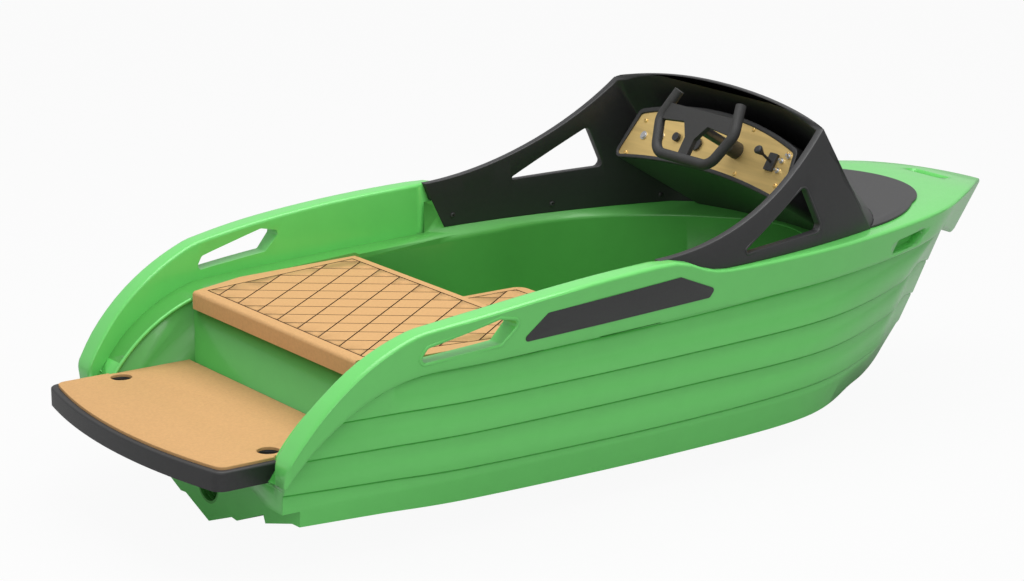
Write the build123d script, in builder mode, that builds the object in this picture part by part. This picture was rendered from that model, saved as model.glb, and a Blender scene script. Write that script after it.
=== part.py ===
# Small electric jet boat: V-bottomed moulded hull with planked sides, open cockpit,
# wrap-around black cowl, swim platform and a steered water jet under the stern.
# Millimetres. +X is the bow, +Y is port, +Z is up. The origin is on the waterline,
# on the centreline, at the transom of the running bottom.
import math
import os

from build123d import *

os.makedirs("parts", exist_ok=True)

# Hull offsets, one row a station. A station is a plane that leans with the bow: it passes the
# keel at keel_x and the height TOP_Z at top_x. The pairs are half breadth and height on the
# upper edge, the foot of the rail, three plank laps and the chine.
KEEL_Z = -142.0
TOP_Z = 471.0
RAISED_TOP_Z = 620.0
STATIONS = [
    # keel_x, top_x, keel_z, top, rail foot, lap 1, lap 2, lap 3, chine
    (-87, -87, -142, (552, 471), (534, 346), (517, 250), (496, 160), (474, 72), (461, -22)),
    (220, 220, -142, (584, 471), (562, 350), (542, 250), (519, 157), (493, 61), (470, -34)),
    (530, 530, -142, (612, 471), (586, 353), (565, 250), (539, 155), (510, 52), (478, -47)),
    (1177, 1177, -142, (581, 471), (562, 358), (545, 250), (521, 153), (496, 45), (465, -56)),
    (1694, 1694, -142, (540, 471), (522, 375), (504, 254), (483, 155), (451, 50), (414, -58)),
    (1996, 2168, -140, (410, 471), (394, 379), (336, 250), (318, 155), (296, 47), (246, -56)),
    (2194, 2446, -119, (254, 471), (210, 360), (158, 240), (144, 140), (128, 32), (98, -78)),
    (2324, 2702, -75, (14, 471), (13, 300), (12, 195), (12, 100), (12, 20), (12, -60)),
]
SIDE_AFT_X = STATIONS[0][0]
LAP = 7.0
# How far the rail stands out of the hull at each station
RAIL_PROUD = (63.0, 17.0, 9.0, 9.0, 9.0, 9.0, 9.0, 9.0)
RAIL_REACH = 65.0
STEP_Z = 17.0
WING_AFT_X = -50.0

# Bottom between keel and chine, as shares of the chine's half breadth and of its rise
BOTTOM = [(0.263, 0.39), (0.32, 0.37), (0.614, 0.85), (0.635, 0.67), (0.92, 0.99)]

# Upper edge in side view
ARM_END = (SIDE_AFT_X, 168.0)
ARM_MID = (64.0, 345.0)
ARM_KINK = (280.0, 460.0)
RAIL_MID = (620.0, 502.0)
RAIL_HIGH = (1044.0, 526.0)
DIP_SHOULDER = (1115.0, 519.0)
DIP_MID = (1165.0, 498.0)
DIP_HOLLOW = (1215.0, 478.0)
DIP_END = (1290.0, TOP_Z)
DROOP_START = (2420.0, TOP_Z)
DROOP_MID = (2600.0, 456.0)
DROOP_END = (2830.0, 392.0)

# Foot of the rail in side view, where deck moulding and hull moulding meet
FOOT_END = (SIDE_AFT_X, 104.0)
FOOT_MID = (60.0, 254.0)
FOOT_KINK = (340.0, 348.0)
RAIL_DEPTH = 91.0
FOOT_LONG = (2120.0, TOP_Z - RAIL_DEPTH)
FOOT_BOW_MID = (FOOT_LONG[0] + 300.0, FOOT_LONG[1] - 30.0)
FOOT_BOW = (FOOT_LONG[0] + 520.0, FOOT_LONG[1] - 118.0)
FOOT_TIP_DROP = 120.0

# Cockpit opening in plan, aft of the cowl, as length and half breadth
OPENING = [
    (-400, 470),
    (SIDE_AFT_X, 490),
    (40, 513),
    (150, 522),
    (336, 546),
    (480, 556),
    (700, 557),
    (1140, 543),
]

# Ledge along the inside in side view
BAY_Y = 432.0
BAY_Z = 106.0
LEDGE_END = (-75.0, BAY_Z)
LEDGE_MID = (50.0, 255.0)
LEDGE_KINK = (270.0, 352.0)
LEDGE_FWD = (1116.0, 382.0)

# Transom above the step in plan: flat pod round the jet, then faces that sweep aft to the wings
TRANSOM = [(WING_AFT_X, 392.0), (22.0, 112.0), (0.0, 110.0), (0.0, 0.0)]
WING_LEDGE_X = -5.0
WING_DROP = 12.0

# Seat
SEAT_X = (210.0, 770.0)
SEAT_AFT_Y = 420.0
SEAT_MID = (380.0, 472.0)
SEAT_FWD_Y = 492.0
SEAT_Z = 349.0
SEAT_PANEL_T = 20.0
LOCKER_X = (250.0, 740.0)
LOCKER_Y = 380.0
LOCKER_Z = 42.0

# Footwell, as length and half breadth, and the hump between the legs
WELL = [(770, 470), (1250, 464), (1720, 350), (1870, 200), (1960, 0)]
FLOOR_Z = 70.0
HUMP_X = 1140.0
HUMP_Y = 190.0
HUMP_Z = 270.0
HUMP_R = 40.0

# Mats
MAT_T = 12.0
MAT_INSET = 6.0
MAT_NOSE_R = 11.0
LIP_DROP = 38.0
LIP_OUT = 12.0

# Swim platform
SLAB_T = 50.0
SLAB_AFT_X = -278.0
SLAB_SIDE_X = -222.0
SLAB_Y = 457.0
SLAB_FWD_X = 208.0
SLAB_CORNER_R = 34.0
ARM_GAP = 2.0
PLATFORM_MAT_INSET = 16.0
PLATFORM_MAT_FWD_X = 192.0
PLATFORM_MAT_T = 8.0
MOORING_R = 29.0
MOORING_X = -41.0
MOORING_Y = 388.0

# Cowl: side and nose points of its plan at the deck and at the head, and its rim in side view
COWL_T = 24.0
COWL_BASE = [(1044, 571), (1480, 545), (1885, 455), (2110, 0)]
COWL_HEAD = [(1044, 535), (1380, 512), (1641, 478), (1690, 0)]
COWL_HEAD_Z = 850.0
COWL_RIM = [(1044.0, 526.0), (1400.0, 603.0), (1683.0, 786.0)]
COWL_CROWN_Z = 842.0
COWL_CORNER_Y = 480.0
SKIRT_INSET = 10.0
SKIRT_Z = LEDGE_FWD[1] + 2.0
SKIRT_AFT_X = 1116.0
WINDOW = [(1335.0, 500.0), (1592.0, 642.0), (1655.0, 512.0)]
WINDOW_R = 16.0
WINDOW_AFT_R = 5.0

# Black patch on the foredeck
PATCH = [(1888, 450), (2062, 386), (2192, 292), (2360, 0)]
PATCH_T = 5.0

# Dash, on a plane that leans forward, with lengths up the lean from its middle lower edge
DASH_ORIGIN = (1640.0, 0.0, 600.0)
DASH_LEAN = 31.0
PANEL_FOOT = (375.0, -34.0)
PANEL_HEAD = (345.0, 104.0)
PANEL_RISE = 157.0
PANEL_R = 12.0
PANEL_T = 4.0
RIM_W = 13.0
RIM_OUT = 9.0
DASH_DEPTH = 420.0
DASH_WALL = 20.0

# Controls on the dash plane: starboard of the middle and up the lean
HUB_AT = (118.0, 70.0)
DIAL_AT = (-56.0, 58.0)
DIAL_R = 20.0
DIAL_T = 7.0
KNOB_AT = (-149.0, 62.0)
KNOB_R = 13.0
KNOB_T = 10.0
BUTTONS_AT = [(-294.0, 42.0), (-220.0, 53.0)]
BUTTON_R = 13.0
BUTTON_CAP_R = 9.0
BUTTON_T = 3.0
SWITCHES_AT = [(312.0, 75.0), (312.0, 45.0), (331.0, 93.0)]
SWITCH_R = 8.0
SWITCH_T = 4.0
TOGGLE_R = 4.0
TOGGLE_L = 10.0
LEVER_AT = (276.0, 64.0)
LEVER_PLATE = (34.0, 52.0)
LEVER_PLATE_R = 3.0
LEVER_PLATE_T = 8.0
LEVER_R = 4.0
LEVER_KNOB_R = 13.0
LEVER_KNOB_L = 30.0
LEVER_CAP_T = 8.0
LEVER_CAP_R = 6.0
LEVER_REACH = 73.0
LEVER_RISE = 12.0

# Steering wheel
WHEEL_OUT = 177.0
WHEEL_HALF = 165.0
WHEEL_TOP_HALF = 137.0
WHEEL_UP = 88.0
WHEEL_DOWN = 101.0
WHEEL_FOOT_HALF = 119.0
WHEEL_CORNER_R = 50.0
# Half outline of the hub plate and its three spokes, on the wheel's plane
SPOKES = [(0, 46), (153, 46), (WHEEL_HALF, -6), (52, 4), (20, -40), (20, -WHEEL_DOWN), (0, -WHEEL_DOWN)]
GRIP_R = 15.0
SPOKE_T = 14.0
COLUMN_R = 15.0
BEARING_R = 25.0
BEARING_L = 46.0
BEARING_CHAMFER = 4.0
COLUMN_CLEAR = 0.1
STEER_GAP = 2.0

# Handle slots in the rails, in side view
HANDLE = [(276.0, 378.0), (513.0, 397.0), (566.0, 452.0), (500.0, 466.0), (300.0, 418.0)]
HANDLE_R = 12.0
BOW_HANDLE = (2035.0, 440.0, 412.0)
BOW_HANDLE_TURN = 15.0
BOW_HANDLE_RISE = 2.0
BOW_HANDLE_OUTLINE = [(-92.0, -20.0), (-68.0, 20.0), (84.0, 21.0), (96.0, 4.0), (58.0, -20.0)]
BOW_HANDLE_R = 8.0
BOW_HANDLE_DEPTH = 46.0
BOW_GRAB_X = 2525.0
BOW_GRAB_LENGTH = 170.0
BOW_GRAB_WIDTH = 44.0
BOW_GRAB_DEPTH = 22.0

# Side plates on the rails, in side view
PLATE = [(572.0, 388.0), (652.0, 459.0), (1093.0, 481.0), (1222.0, 428.0), (1205.0, 404.0)]
PLATE_R = 10.0
PLATE_T = 3.0

# Jet
JET_Z = -34.0
TUNNEL_R = 58.0
TUNNEL_L = 330.0
LINER_BORE_R = 51.0
LINER_L = 140.0
LINER_GROOVES = 6
LINER_GROOVE_X = 8.0
LINER_GROOVE_PITCH = 14.0
LINER_GROOVE_DEPTH = 3.0
NOZZLE_PIVOT_X = 112.0
NOZZLE_AFT_X = 46.0
NOZZLE_FWD_X = 128.0
NOZZLE_TIP_R = 27.0
NOZZLE_ROOT_R = 36.0
NOZZLE_WALL = 4.0
NOZZLE_PIN_R = 5.0
STATOR_L = 34.0
STATOR_HUB_R = 20.0
STATOR_VANES = 6
NOZZLE_PIN_REACH = 55.0
BLADE_PITCH = 35.0
FIXED_FIT = 0.02
IMPELLER_X = 190.0
IMPELLER_L = 34.0
IMPELLER_R = 52.0
IMPELLER_HUB_R = 20.0
IMPELLER_BLADES = 5
BLADE_T = 3.0
BLADE_ROOT = 4.0
SHAFT_R = 9.0
INTAKE_Y = 55.0
GRATE_BARS = 5
GRATE_BAR = 6.0

INTAKE_ROOF = [(300.0, 24.0), (330.0, 24.0), (540.0, -100.0), (540.0, -170.0), (300.0, -170.0)]
GRATE_SLOPE = 0.32
GRATE_DEPTH = 12.0
GRATE_UP = 2.0

# Motor in its own bay and battery in the locker
MOTOR_BAY_X = (560.0, 740.0)
MOTOR_BAY_Y = 85.0
MOTOR_BAY_Z = -96.0
MOTOR_X = 572.0
MOTOR = (160.0, 160.0, 160.0)
BATTERY = (260.0, 520.0, 180.0)
BATTERY_X = 405.0
SHAFT_AFT_X = 152.0
RUNNING = 0.05

CLEAR = 0.3
# Reach of a cutting solid, past everything in the boat
FAR = 4000.0


def side_prism(points, radius=0.0):
    """Prism right across the boat from an outline in side view."""
    with BuildPart() as prism:
        with BuildSketch(Plane.XZ) as outline:
            with BuildLine():
                Polyline(*points, close=True)
            make_face()
            if radius:
                fillet(outline.vertices(), radius)
        extrude(amount=FAR, both=True)
    return prism.part


def station_plane(keel_x, top_x):
    """Leaning plane with its x to port and its y up the lean, from the keel line."""
    rise = TOP_Z - KEEL_Z
    lean = top_x - keel_x
    return Plane(origin=(keel_x, 0, KEEL_Z), x_dir=(0, 1, 0), z_dir=(rise, 0, -lean))


def up_plane(z, keel_x, top_x):
    """Distance up a leaning station plane for a height."""
    lean = math.atan2(top_x - keel_x, TOP_Z - KEEL_Z)
    return (z - KEEL_Z) / math.cos(lean)


def half_section(row):
    """Half outline of a station from the keel to the upper edge, as breadth and height."""
    keel_z, proud, top, foot, lap1, lap2, lap3, chine = row
    outline = [(0.0, keel_z)]
    rise = chine[1] - keel_z
    for share_y, share_z in BOTTOM:
        outline.append((chine[0] * share_y, keel_z + rise * share_z))
    outline.append(chine)
    step = min(LAP, chine[0] * 0.3)
    for half_y, z in (lap3, lap2, lap1, foot):
        outline.append((half_y - step, z - 3))
        outline.append((half_y, z))
    flare = (top[0] - foot[0]) / (top[1] - foot[1])
    outline.append((top[0] + flare * (RAISED_TOP_Z - top[1]), RAISED_TOP_Z))
    return [(y + proud if y > 0 else y, z) for y, z in outline]


def between(rows, index, t):
    """Row of numbers on the smooth curve through the table's rows, a share t past a row."""
    last = len(rows) - 1
    picked = [rows[min(max(index + step, 0), last)] for step in (-1, 0, 1, 2)]
    blended = []
    for before, start, end, after in zip(*picked):
        slope_in = (end - before) / 2
        slope_out = (after - start) / 2
        blended.append(
            start * (2 * t**3 - 3 * t**2 + 1)
            + slope_in * (t**3 - 2 * t**2 + t)
            + end * (3 * t**2 - 2 * t**3)
            + slope_out * (t**3 - t**2)
        )
    return blended


def faired_stations(proud, reach):
    """Stations of the table with faired ones between them, closer together at the bow."""
    flat = []
    for row, out in zip(STATIONS, proud):
        flat.append([*row[:3], out] + [value for pair in row[3:] for value in pair])
    flat[-1][1] += reach
    rows = []
    for index in range(len(flat) - 1):
        count = 3 if index >= 3 else 2
        rows += [between(flat, index, step / count) for step in range(count)]
    rows.append(flat[-1])
    return [row[:4] + list(zip(row[4::2], row[5::2])) for row in rows]


def hull_form(proud, reach):
    """Solid inside the moulded sides or the rails, carried up past the upper edge."""
    with BuildPart() as form:
        for row in faired_stations(proud, reach):
            keel_x, top_x = row[0], row[1]
            half = half_section(row[2:])
            local = [(y, up_plane(z, keel_x, top_x)) for y, z in half]
            mirrored = [(-y, s) for y, s in reversed(local[1:])]
            with BuildSketch(station_plane(keel_x, top_x)):
                with BuildLine():
                    Polyline(*local, *mirrored, close=True)
                make_face()
        loft(ruled=True)
    return form.part


def above_upper_edge():
    """Everything over the rail and deck in side view."""
    with BuildPart() as prism:
        with BuildSketch(Plane.XZ):
            with BuildLine():
                ThreePointArc(ARM_END, ARM_MID, ARM_KINK)
                ThreePointArc(ARM_KINK, RAIL_MID, RAIL_HIGH)
                Polyline(RAIL_HIGH, DIP_SHOULDER, DIP_MID, DIP_HOLLOW, DIP_END, DROOP_START)
                ThreePointArc(DROOP_START, DROOP_MID, DROOP_END)
                Polyline(DROOP_END, (FAR, DROOP_END[1]), (FAR, FAR), (-FAR, FAR), (-FAR, ARM_END[1]), ARM_END)
            make_face()
        extrude(amount=FAR, both=True)
    return prism.part


def above_foot():
    """Everything over the foot of the rail in side view."""
    with BuildPart() as prism:
        with BuildSketch(Plane.XZ):
            with BuildLine():
                ThreePointArc(FOOT_END, FOOT_MID, FOOT_KINK)
                Line(FOOT_KINK, FOOT_LONG)
                ThreePointArc(FOOT_LONG, FOOT_BOW_MID, FOOT_BOW)
                Line(FOOT_BOW, (FAR, FOOT_BOW[1] - FOOT_TIP_DROP))
                Polyline((FAR, FOOT_BOW[1] - FOOT_TIP_DROP), (FAR, FAR), (-FAR, FAR))
                Polyline((-FAR, FAR), (-FAR, FOOT_END[1]), FOOT_END)
            make_face()
        extrude(amount=FAR, both=True)
    return prism.part


def above_ledge():
    """Everything over the inner ledge in side view."""
    with BuildPart() as prism:
        with BuildSketch(Plane.XZ):
            with BuildLine():
                ThreePointArc(LEDGE_END, LEDGE_MID, LEDGE_KINK)
                Polyline(LEDGE_KINK, LEDGE_FWD, (FAR, LEDGE_FWD[1]), (FAR, FAR))
                Polyline((FAR, FAR), (-FAR, FAR), (-FAR, LEDGE_END[1]), LEDGE_END)
            make_face()
        extrude(amount=FAR, both=True)
    return prism.part


def cowl_plan(points, inset, plane):
    """Closed outline of the cowl in plan, an arc a side and an arc round the nose."""
    start, middle, corner, nose = points
    near = [(x, -(y - inset)) for x, y in (start, middle, corner)]
    far = [(x, y - inset) for x, y in (start, middle, corner)]
    near[2] = (corner[0] - inset / 2, near[2][1])
    far[2] = (corner[0] - inset / 2, far[2][1])
    with BuildSketch(plane) as plan:
        with BuildLine():
            ThreePointArc(*near)
            ThreePointArc(near[2], (nose[0] - inset, 0), far[2])
            ThreePointArc(*reversed(far))
            Line(far[0], near[0])
        make_face()
    return plan.sketch


def cowl_form(inset):
    """Solid inside the cowl's face at an inset, from the deck to above the rim."""
    low = cowl_plan(COWL_BASE, inset, Plane.XY.offset(TOP_Z))
    high = cowl_plan(COWL_HEAD, inset, Plane.XY.offset(COWL_HEAD_Z))
    with BuildPart() as form:
        add(low)
        add(high)
        loft(ruled=True)
    return form.part


def cowl_well(inset, low_z, high_z):
    """Upright solid on the cowl's plan at the deck, at an inset."""
    plan = cowl_plan(COWL_BASE, inset, Plane.XY.offset(low_z))
    with BuildPart() as form:
        add(plan)
        extrude(amount=high_z - low_z)
    return form.part


def cockpit_space():
    """Air over the ledge, from the open stern to the cowl."""
    with BuildPart() as space:
        add(plan_prism(OPENING, BAY_Z, FAR))
        add(cowl_well(COWL_T, BAY_Z, TOP_Z))
        add(ledge_region, mode=Mode.INTERSECT)
    return space.part


def plan_prism(points, low_z, high_z):
    """Upright prism from a list of lengths and half breadths, mirrored about the centreline."""
    near = [(x, -y) for x, y in points]
    far = [(x, y) for x, y in reversed(points)]
    if points[-1][1] == 0:
        far = far[1:]
    if points[0][1] == 0:
        far = far[:-1]
    with BuildPart() as prism:
        with BuildSketch(Plane.XY.offset(low_z)):
            with BuildLine():
                Polyline(*near, *far, close=True)
            make_face()
        extrude(amount=high_z - low_z)
    return prism.part


dash_plane = Plane(
    origin=DASH_ORIGIN,
    x_dir=(0, -1, 0),
    z_dir=(-math.cos(math.radians(DASH_LEAN)), 0, math.sin(math.radians(DASH_LEAN))),
)


def dash_outline(grow):
    """Arched outline of the dash panel on the dash plane, grown by an amount."""
    foot = (PANEL_FOOT[0] + grow, PANEL_FOOT[1] - grow)
    head = (PANEL_HEAD[0] + grow, PANEL_HEAD[1] + grow)
    with BuildSketch(dash_plane) as outline:
        with BuildLine():
            ThreePointArc((-foot[0], foot[1]), (0, -grow), foot)
            Line(foot, head)
            ThreePointArc(head, (0, PANEL_RISE + grow), (-head[0], head[1]))
            Line((-head[0], head[1]), (-foot[0], foot[1]))
        make_face()
        fillet(outline.vertices(), PANEL_R + grow)
    return outline.sketch


def bow_handle_plane(side):
    """Plane on the bow's flank, its x along the grip pocket and its z outward."""
    turn = math.radians(BOW_HANDLE_TURN)
    rise = math.radians(BOW_HANDLE_RISE)
    along = (math.cos(turn) * math.cos(rise), -side * math.sin(turn) * math.cos(rise), math.sin(rise))
    outward = (math.sin(turn), side * math.cos(turn), 0)
    return Plane(origin=(BOW_HANDLE[0], side * BOW_HANDLE[1], BOW_HANDLE[2]), x_dir=along, z_dir=outward)


def dash_hollow():
    """Outline of the dash box's hollow, behind its front plate."""
    return dash_outline(RIM_W - DASH_WALL).moved(Location(-DASH_WALL * dash_plane.z_dir))


upper_air = above_upper_edge()
rail_region = above_foot()
ledge_region = above_ledge()
open_space = cockpit_space()
cowl_outer = cowl_form(0)
cowl_inner = cowl_form(COWL_T)
skirt_outer = cowl_well(SKIRT_INSET, SKIRT_Z, TOP_Z)
skirt_inner = cowl_well(COWL_T, BAY_Z, TOP_Z)
# Slanted start of the cowl, everything forward of it
cowl_start = side_prism(
    [
        COWL_RIM[0],
        (SKIRT_AFT_X, SKIRT_Z),
        (FAR, SKIRT_Z),
        (FAR, FAR),
        (COWL_RIM[0][0], FAR),
    ]
)
seat_points = [(SEAT_X[0], SEAT_AFT_Y), SEAT_MID, (SEAT_X[1], SEAT_FWD_Y)]
bay = plan_prism([(-FAR, BAY_Y), (SEAT_X[0], BAY_Y)], BAY_Z, FAR)
seat_room = plan_prism(seat_points, SEAT_Z - SEAT_PANEL_T, FAR)
well_far = [(x, -y) for x, y in WELL]
with BuildPart() as footwell:
    with BuildSketch(Plane.XY.offset(FLOOR_Z)):
        with BuildLine():
            Line(well_far[0], well_far[1])
            ThreePointArc(well_far[1], well_far[2], well_far[3])
            ThreePointArc(well_far[3], WELL[4], WELL[3])
            ThreePointArc(WELL[3], WELL[2], WELL[1])
            Line(WELL[1], WELL[0])
            Line(WELL[0], well_far[0])
        make_face()
    extrude(amount=FAR)
handle_cut = side_prism(HANDLE, HANDLE_R)
rail_form = hull_form(RAIL_PROUD, RAIL_REACH)
plate_form = hull_form([out + PLATE_T for out in RAIL_PROUD], RAIL_REACH)
with BuildPart() as cowl_room:
    add(cowl_outer)
    add(skirt_outer)
    add(cowl_start, mode=Mode.INTERSECT)

# Cowl
with BuildPart() as cowl:
    add(cowl_room.part)
    add(cowl_inner, mode=Mode.SUBTRACT)
    add(skirt_inner, mode=Mode.SUBTRACT)
    with BuildSketch(Plane.XZ):
        with BuildLine():
            ThreePointArc(*COWL_RIM)
            Polyline(COWL_RIM[2], (COWL_RIM[2][0], FAR), (-FAR, FAR), (-FAR, COWL_RIM[0][1]), COWL_RIM[0])
        make_face()
    extrude(amount=FAR, both=True, mode=Mode.SUBTRACT)
    rim_z = COWL_RIM[2][1]
    with BuildSketch(Plane.YZ.offset(COWL_RIM[2][0] - 1)):
        with BuildLine():
            ThreePointArc((-COWL_CORNER_Y, rim_z), (0, COWL_CROWN_Z), (COWL_CORNER_Y, rim_z))
            Polyline((COWL_CORNER_Y, rim_z), (FAR, rim_z), (FAR, FAR))
            Polyline((FAR, FAR), (-FAR, FAR), (-FAR, rim_z), (-COWL_CORNER_Y, rim_z))
        make_face()
    extrude(amount=FAR, mode=Mode.SUBTRACT)
    with BuildSketch(Plane.XZ) as window:
        with BuildLine():
            Polyline(*WINDOW, close=True)
        make_face()
        fillet(window.vertices().sort_by(Axis.X)[1:], WINDOW_R)
        fillet(window.vertices().sort_by(Axis.X)[0], WINDOW_AFT_R)
    extrude(amount=FAR, both=True, mode=Mode.SUBTRACT)
cowl.part.label = "cowl"
export_step(cowl.part, "parts/cowl.step")

# Hull moulding, below the foot of the rail
with BuildPart() as hull:
    add(hull_form([0.0] * len(STATIONS), 0.0))
    add(rail_region, mode=Mode.SUBTRACT)
    add(cowl_room.part, mode=Mode.SUBTRACT)
    add(open_space, mode=Mode.SUBTRACT)
    add(bay, mode=Mode.SUBTRACT)
    add(footwell.part, mode=Mode.SUBTRACT)
    with BuildSketch(Plane.XY.offset(LOCKER_Z)):
        with Locations(((LOCKER_X[0] + LOCKER_X[1]) / 2, 0)):
            Rectangle(LOCKER_X[1] - LOCKER_X[0], 2 * LOCKER_Y)
    extrude(amount=SEAT_Z - LOCKER_Z, mode=Mode.SUBTRACT)
    add(seat_room, mode=Mode.SUBTRACT)
    # open space under the platform, aft of the transom
    add(plan_prism([(-FAR, FAR), (WING_AFT_X, FAR)] + TRANSOM, STEP_Z, FAR), mode=Mode.SUBTRACT)
    add(plan_prism([(-FAR, FAR), (0, FAR)], -FAR, STEP_Z), mode=Mode.SUBTRACT)
    add(plan_prism([(-FAR, BAY_Y), (WING_LEDGE_X, BAY_Y)], BAY_Z - WING_DROP, FAR), mode=Mode.SUBTRACT)
    # jet tunnel and intake
    with BuildSketch(Plane.YZ):
        with Locations((0, JET_Z)):
            Circle(TUNNEL_R)
    extrude(amount=TUNNEL_L, mode=Mode.SUBTRACT)
    with BuildSketch(Plane.XZ):
        with BuildLine():
            Polyline(*INTAKE_ROOF, close=True)
        make_face()
    extrude(amount=INTAKE_Y, both=True, mode=Mode.SUBTRACT)
    # motor bay below the locker and the shaft's hole into it
    with BuildSketch(Plane.XY.offset(MOTOR_BAY_Z)):
        with Locations(((MOTOR_BAY_X[0] + MOTOR_BAY_X[1]) / 2, 0)):
            Rectangle(MOTOR_BAY_X[1] - MOTOR_BAY_X[0], 2 * MOTOR_BAY_Y)
    extrude(amount=LOCKER_Z - MOTOR_BAY_Z, mode=Mode.SUBTRACT)
    with BuildSketch(Plane.YZ.offset(TUNNEL_L)):
        with Locations((0, JET_Z)):
            Circle(SHAFT_R + RUNNING)
    extrude(amount=MOTOR_BAY_X[0] - TUNNEL_L, mode=Mode.SUBTRACT)
hull.part.label = "hull"
export_step(hull.part, "parts/hull.step")

# Deck moulding: rails, arms, liner above the ledge and foredeck in one piece
with BuildPart() as deck_moulding:
    add(rail_form)
    add(rail_region, mode=Mode.INTERSECT)
    add(upper_air, mode=Mode.SUBTRACT)
    add(open_space, mode=Mode.SUBTRACT)
    add(bay, mode=Mode.SUBTRACT)
    add(footwell.part, mode=Mode.SUBTRACT)
    add(seat_room, mode=Mode.SUBTRACT)
    add(plan_prism([(-FAR, BAY_Y), (0, BAY_Y)], -FAR, FAR), mode=Mode.SUBTRACT)
    add(handle_cut, mode=Mode.SUBTRACT)
    # grip pockets in the bow's flanks and the grab recess across the foredeck
    for side in (-1, 1):
        with BuildSketch(bow_handle_plane(side)) as grip_pocket:
            with BuildLine():
                Polyline(*BOW_HANDLE_OUTLINE, close=True)
            make_face()
            fillet(grip_pocket.vertices(), BOW_HANDLE_R)
        extrude(amount=BOW_HANDLE_DEPTH, both=True, mode=Mode.SUBTRACT)
    with BuildSketch(Plane.XY.offset(TOP_Z - BOW_GRAB_DEPTH)):
        with Locations((BOW_GRAB_X, 0)):
            SlotOverall(BOW_GRAB_LENGTH, BOW_GRAB_WIDTH, rotation=90)
    extrude(amount=2 * BOW_GRAB_DEPTH, mode=Mode.SUBTRACT)
    add(cowl_room.part, mode=Mode.SUBTRACT)
deck_moulding.part.label = "deck_moulding"
export_step(deck_moulding.part, "parts/deck_moulding.step")

# Seat: panel over the locker and its foam mat with a lip over the aft edge
with BuildPart() as seat_panel:
    add(plan_prism(seat_points, SEAT_Z - SEAT_PANEL_T, SEAT_Z))
seat_panel.part.label = "seat_panel"
export_step(seat_panel.part, "parts/seat_panel.step")

mat_aft_y = SEAT_AFT_Y - MAT_INSET
mat_points = [(SEAT_X[0] - LIP_OUT, mat_aft_y), (SEAT_X[0], mat_aft_y), SEAT_MID, (SEAT_X[1], SEAT_FWD_Y)]
with BuildPart() as seat_mat:
    add(plan_prism(mat_points, SEAT_Z, SEAT_Z + MAT_T))
    with BuildSketch(Plane.XY.offset(SEAT_Z - LIP_DROP)):
        with Locations((SEAT_X[0] - LIP_OUT / 2, 0)):
            Rectangle(LIP_OUT, 2 * mat_aft_y)
    extrude(amount=LIP_DROP)
    top_aft = seat_mat.edges().filter_by(Axis.Y).group_by(Axis.X)[0].sort_by(Axis.Z)[-1]
    fillet(top_aft, MAT_NOSE_R)
seat_mat.part.label = "seat_mat"
export_step(seat_mat.part, "parts/seat_mat.step")

# Hump between the legs and its pad
with BuildPart() as hump:
    with BuildSketch(Plane.XY.offset(FLOOR_Z)) as hump_plan:
        with Locations(((WELL[0][0] + HUMP_X) / 2, 0)):
            Rectangle(HUMP_X - WELL[0][0], 2 * HUMP_Y)
        fillet(hump_plan.vertices().group_by(Axis.X)[-1], HUMP_R)
    extrude(amount=HUMP_Z - FLOOR_Z)
hump.part.label = "hump"
export_step(hump.part, "parts/hump.step")

with BuildPart() as hump_pad:
    with BuildSketch(Plane.XY.offset(HUMP_Z)) as pad_plan:
        with Locations(((WELL[0][0] + HUMP_X) / 2, 0)):
            Rectangle(HUMP_X - WELL[0][0] - 2 * MAT_INSET, 2 * HUMP_Y - 2 * MAT_INSET)
        fillet(pad_plan.vertices().group_by(Axis.X)[-1], HUMP_R - MAT_INSET)
    extrude(amount=MAT_T)
hump_pad.part.label = "hump_pad"
export_step(hump_pad.part, "parts/hump_pad.step")


def platform_plan(inset, fwd_x, side_y):
    """Plan of the platform with its bowed aft edge, at an inset."""
    half = SLAB_Y - inset
    aft = SLAB_SIDE_X + inset
    notch_x = WING_AFT_X - ARM_GAP
    with BuildSketch() as plan:
        with BuildLine():
            ThreePointArc((aft, -half), (SLAB_AFT_X + inset, 0), (aft, half))
            if half > side_y:
                Polyline((aft, half), (notch_x, half), (notch_x, side_y), (fwd_x, side_y))
                Polyline((fwd_x, -side_y), (notch_x, -side_y), (notch_x, -half), (aft, -half))
            else:
                Line((aft, half), (fwd_x, half))
                Line((fwd_x, -half), (aft, -half))
            Line((fwd_x, min(half, side_y)), (fwd_x, -min(half, side_y)))
        make_face()
        fillet(plan.vertices().group_by(Axis.X)[0], SLAB_CORNER_R - inset / 2)
        with Locations((MOORING_X, MOORING_Y), (MOORING_X, -MOORING_Y)):
            Circle(MOORING_R, mode=Mode.SUBTRACT)
    return plan.sketch


with BuildPart() as platform:
    add(platform_plan(0, SLAB_FWD_X, BAY_Y).moved(Location((0, 0, BAY_Z))))
    extrude(amount=SLAB_T)
platform.part.label = "platform"
export_step(platform.part, "parts/platform.step")

with BuildPart() as platform_mat:
    add(
        platform_plan(PLATFORM_MAT_INSET, PLATFORM_MAT_FWD_X, BAY_Y - CLEAR).moved(
            Location((0, 0, BAY_Z + SLAB_T))
        )
    )
    extrude(amount=PLATFORM_MAT_T)
platform_mat.part.label = "platform_mat"
export_step(platform_mat.part, "parts/platform_mat.step")

# Patch on the foredeck, up to the cowl's foot
patch_far = [(x, -y) for x, y in PATCH[:3]]
with BuildPart() as deck_patch:
    with BuildSketch(Plane.XY.offset(TOP_Z)):
        with BuildLine():
            ThreePointArc(*patch_far)
            ThreePointArc(patch_far[2], PATCH[3], PATCH[2])
            ThreePointArc(PATCH[2], PATCH[1], PATCH[0])
            Line(PATCH[0], patch_far[0])
        make_face()
    extrude(amount=PATCH_T)
    add(cowl_outer, mode=Mode.SUBTRACT)
deck_patch.part.label = "deck_patch"
export_step(deck_patch.part, "parts/deck_patch.step")

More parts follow.
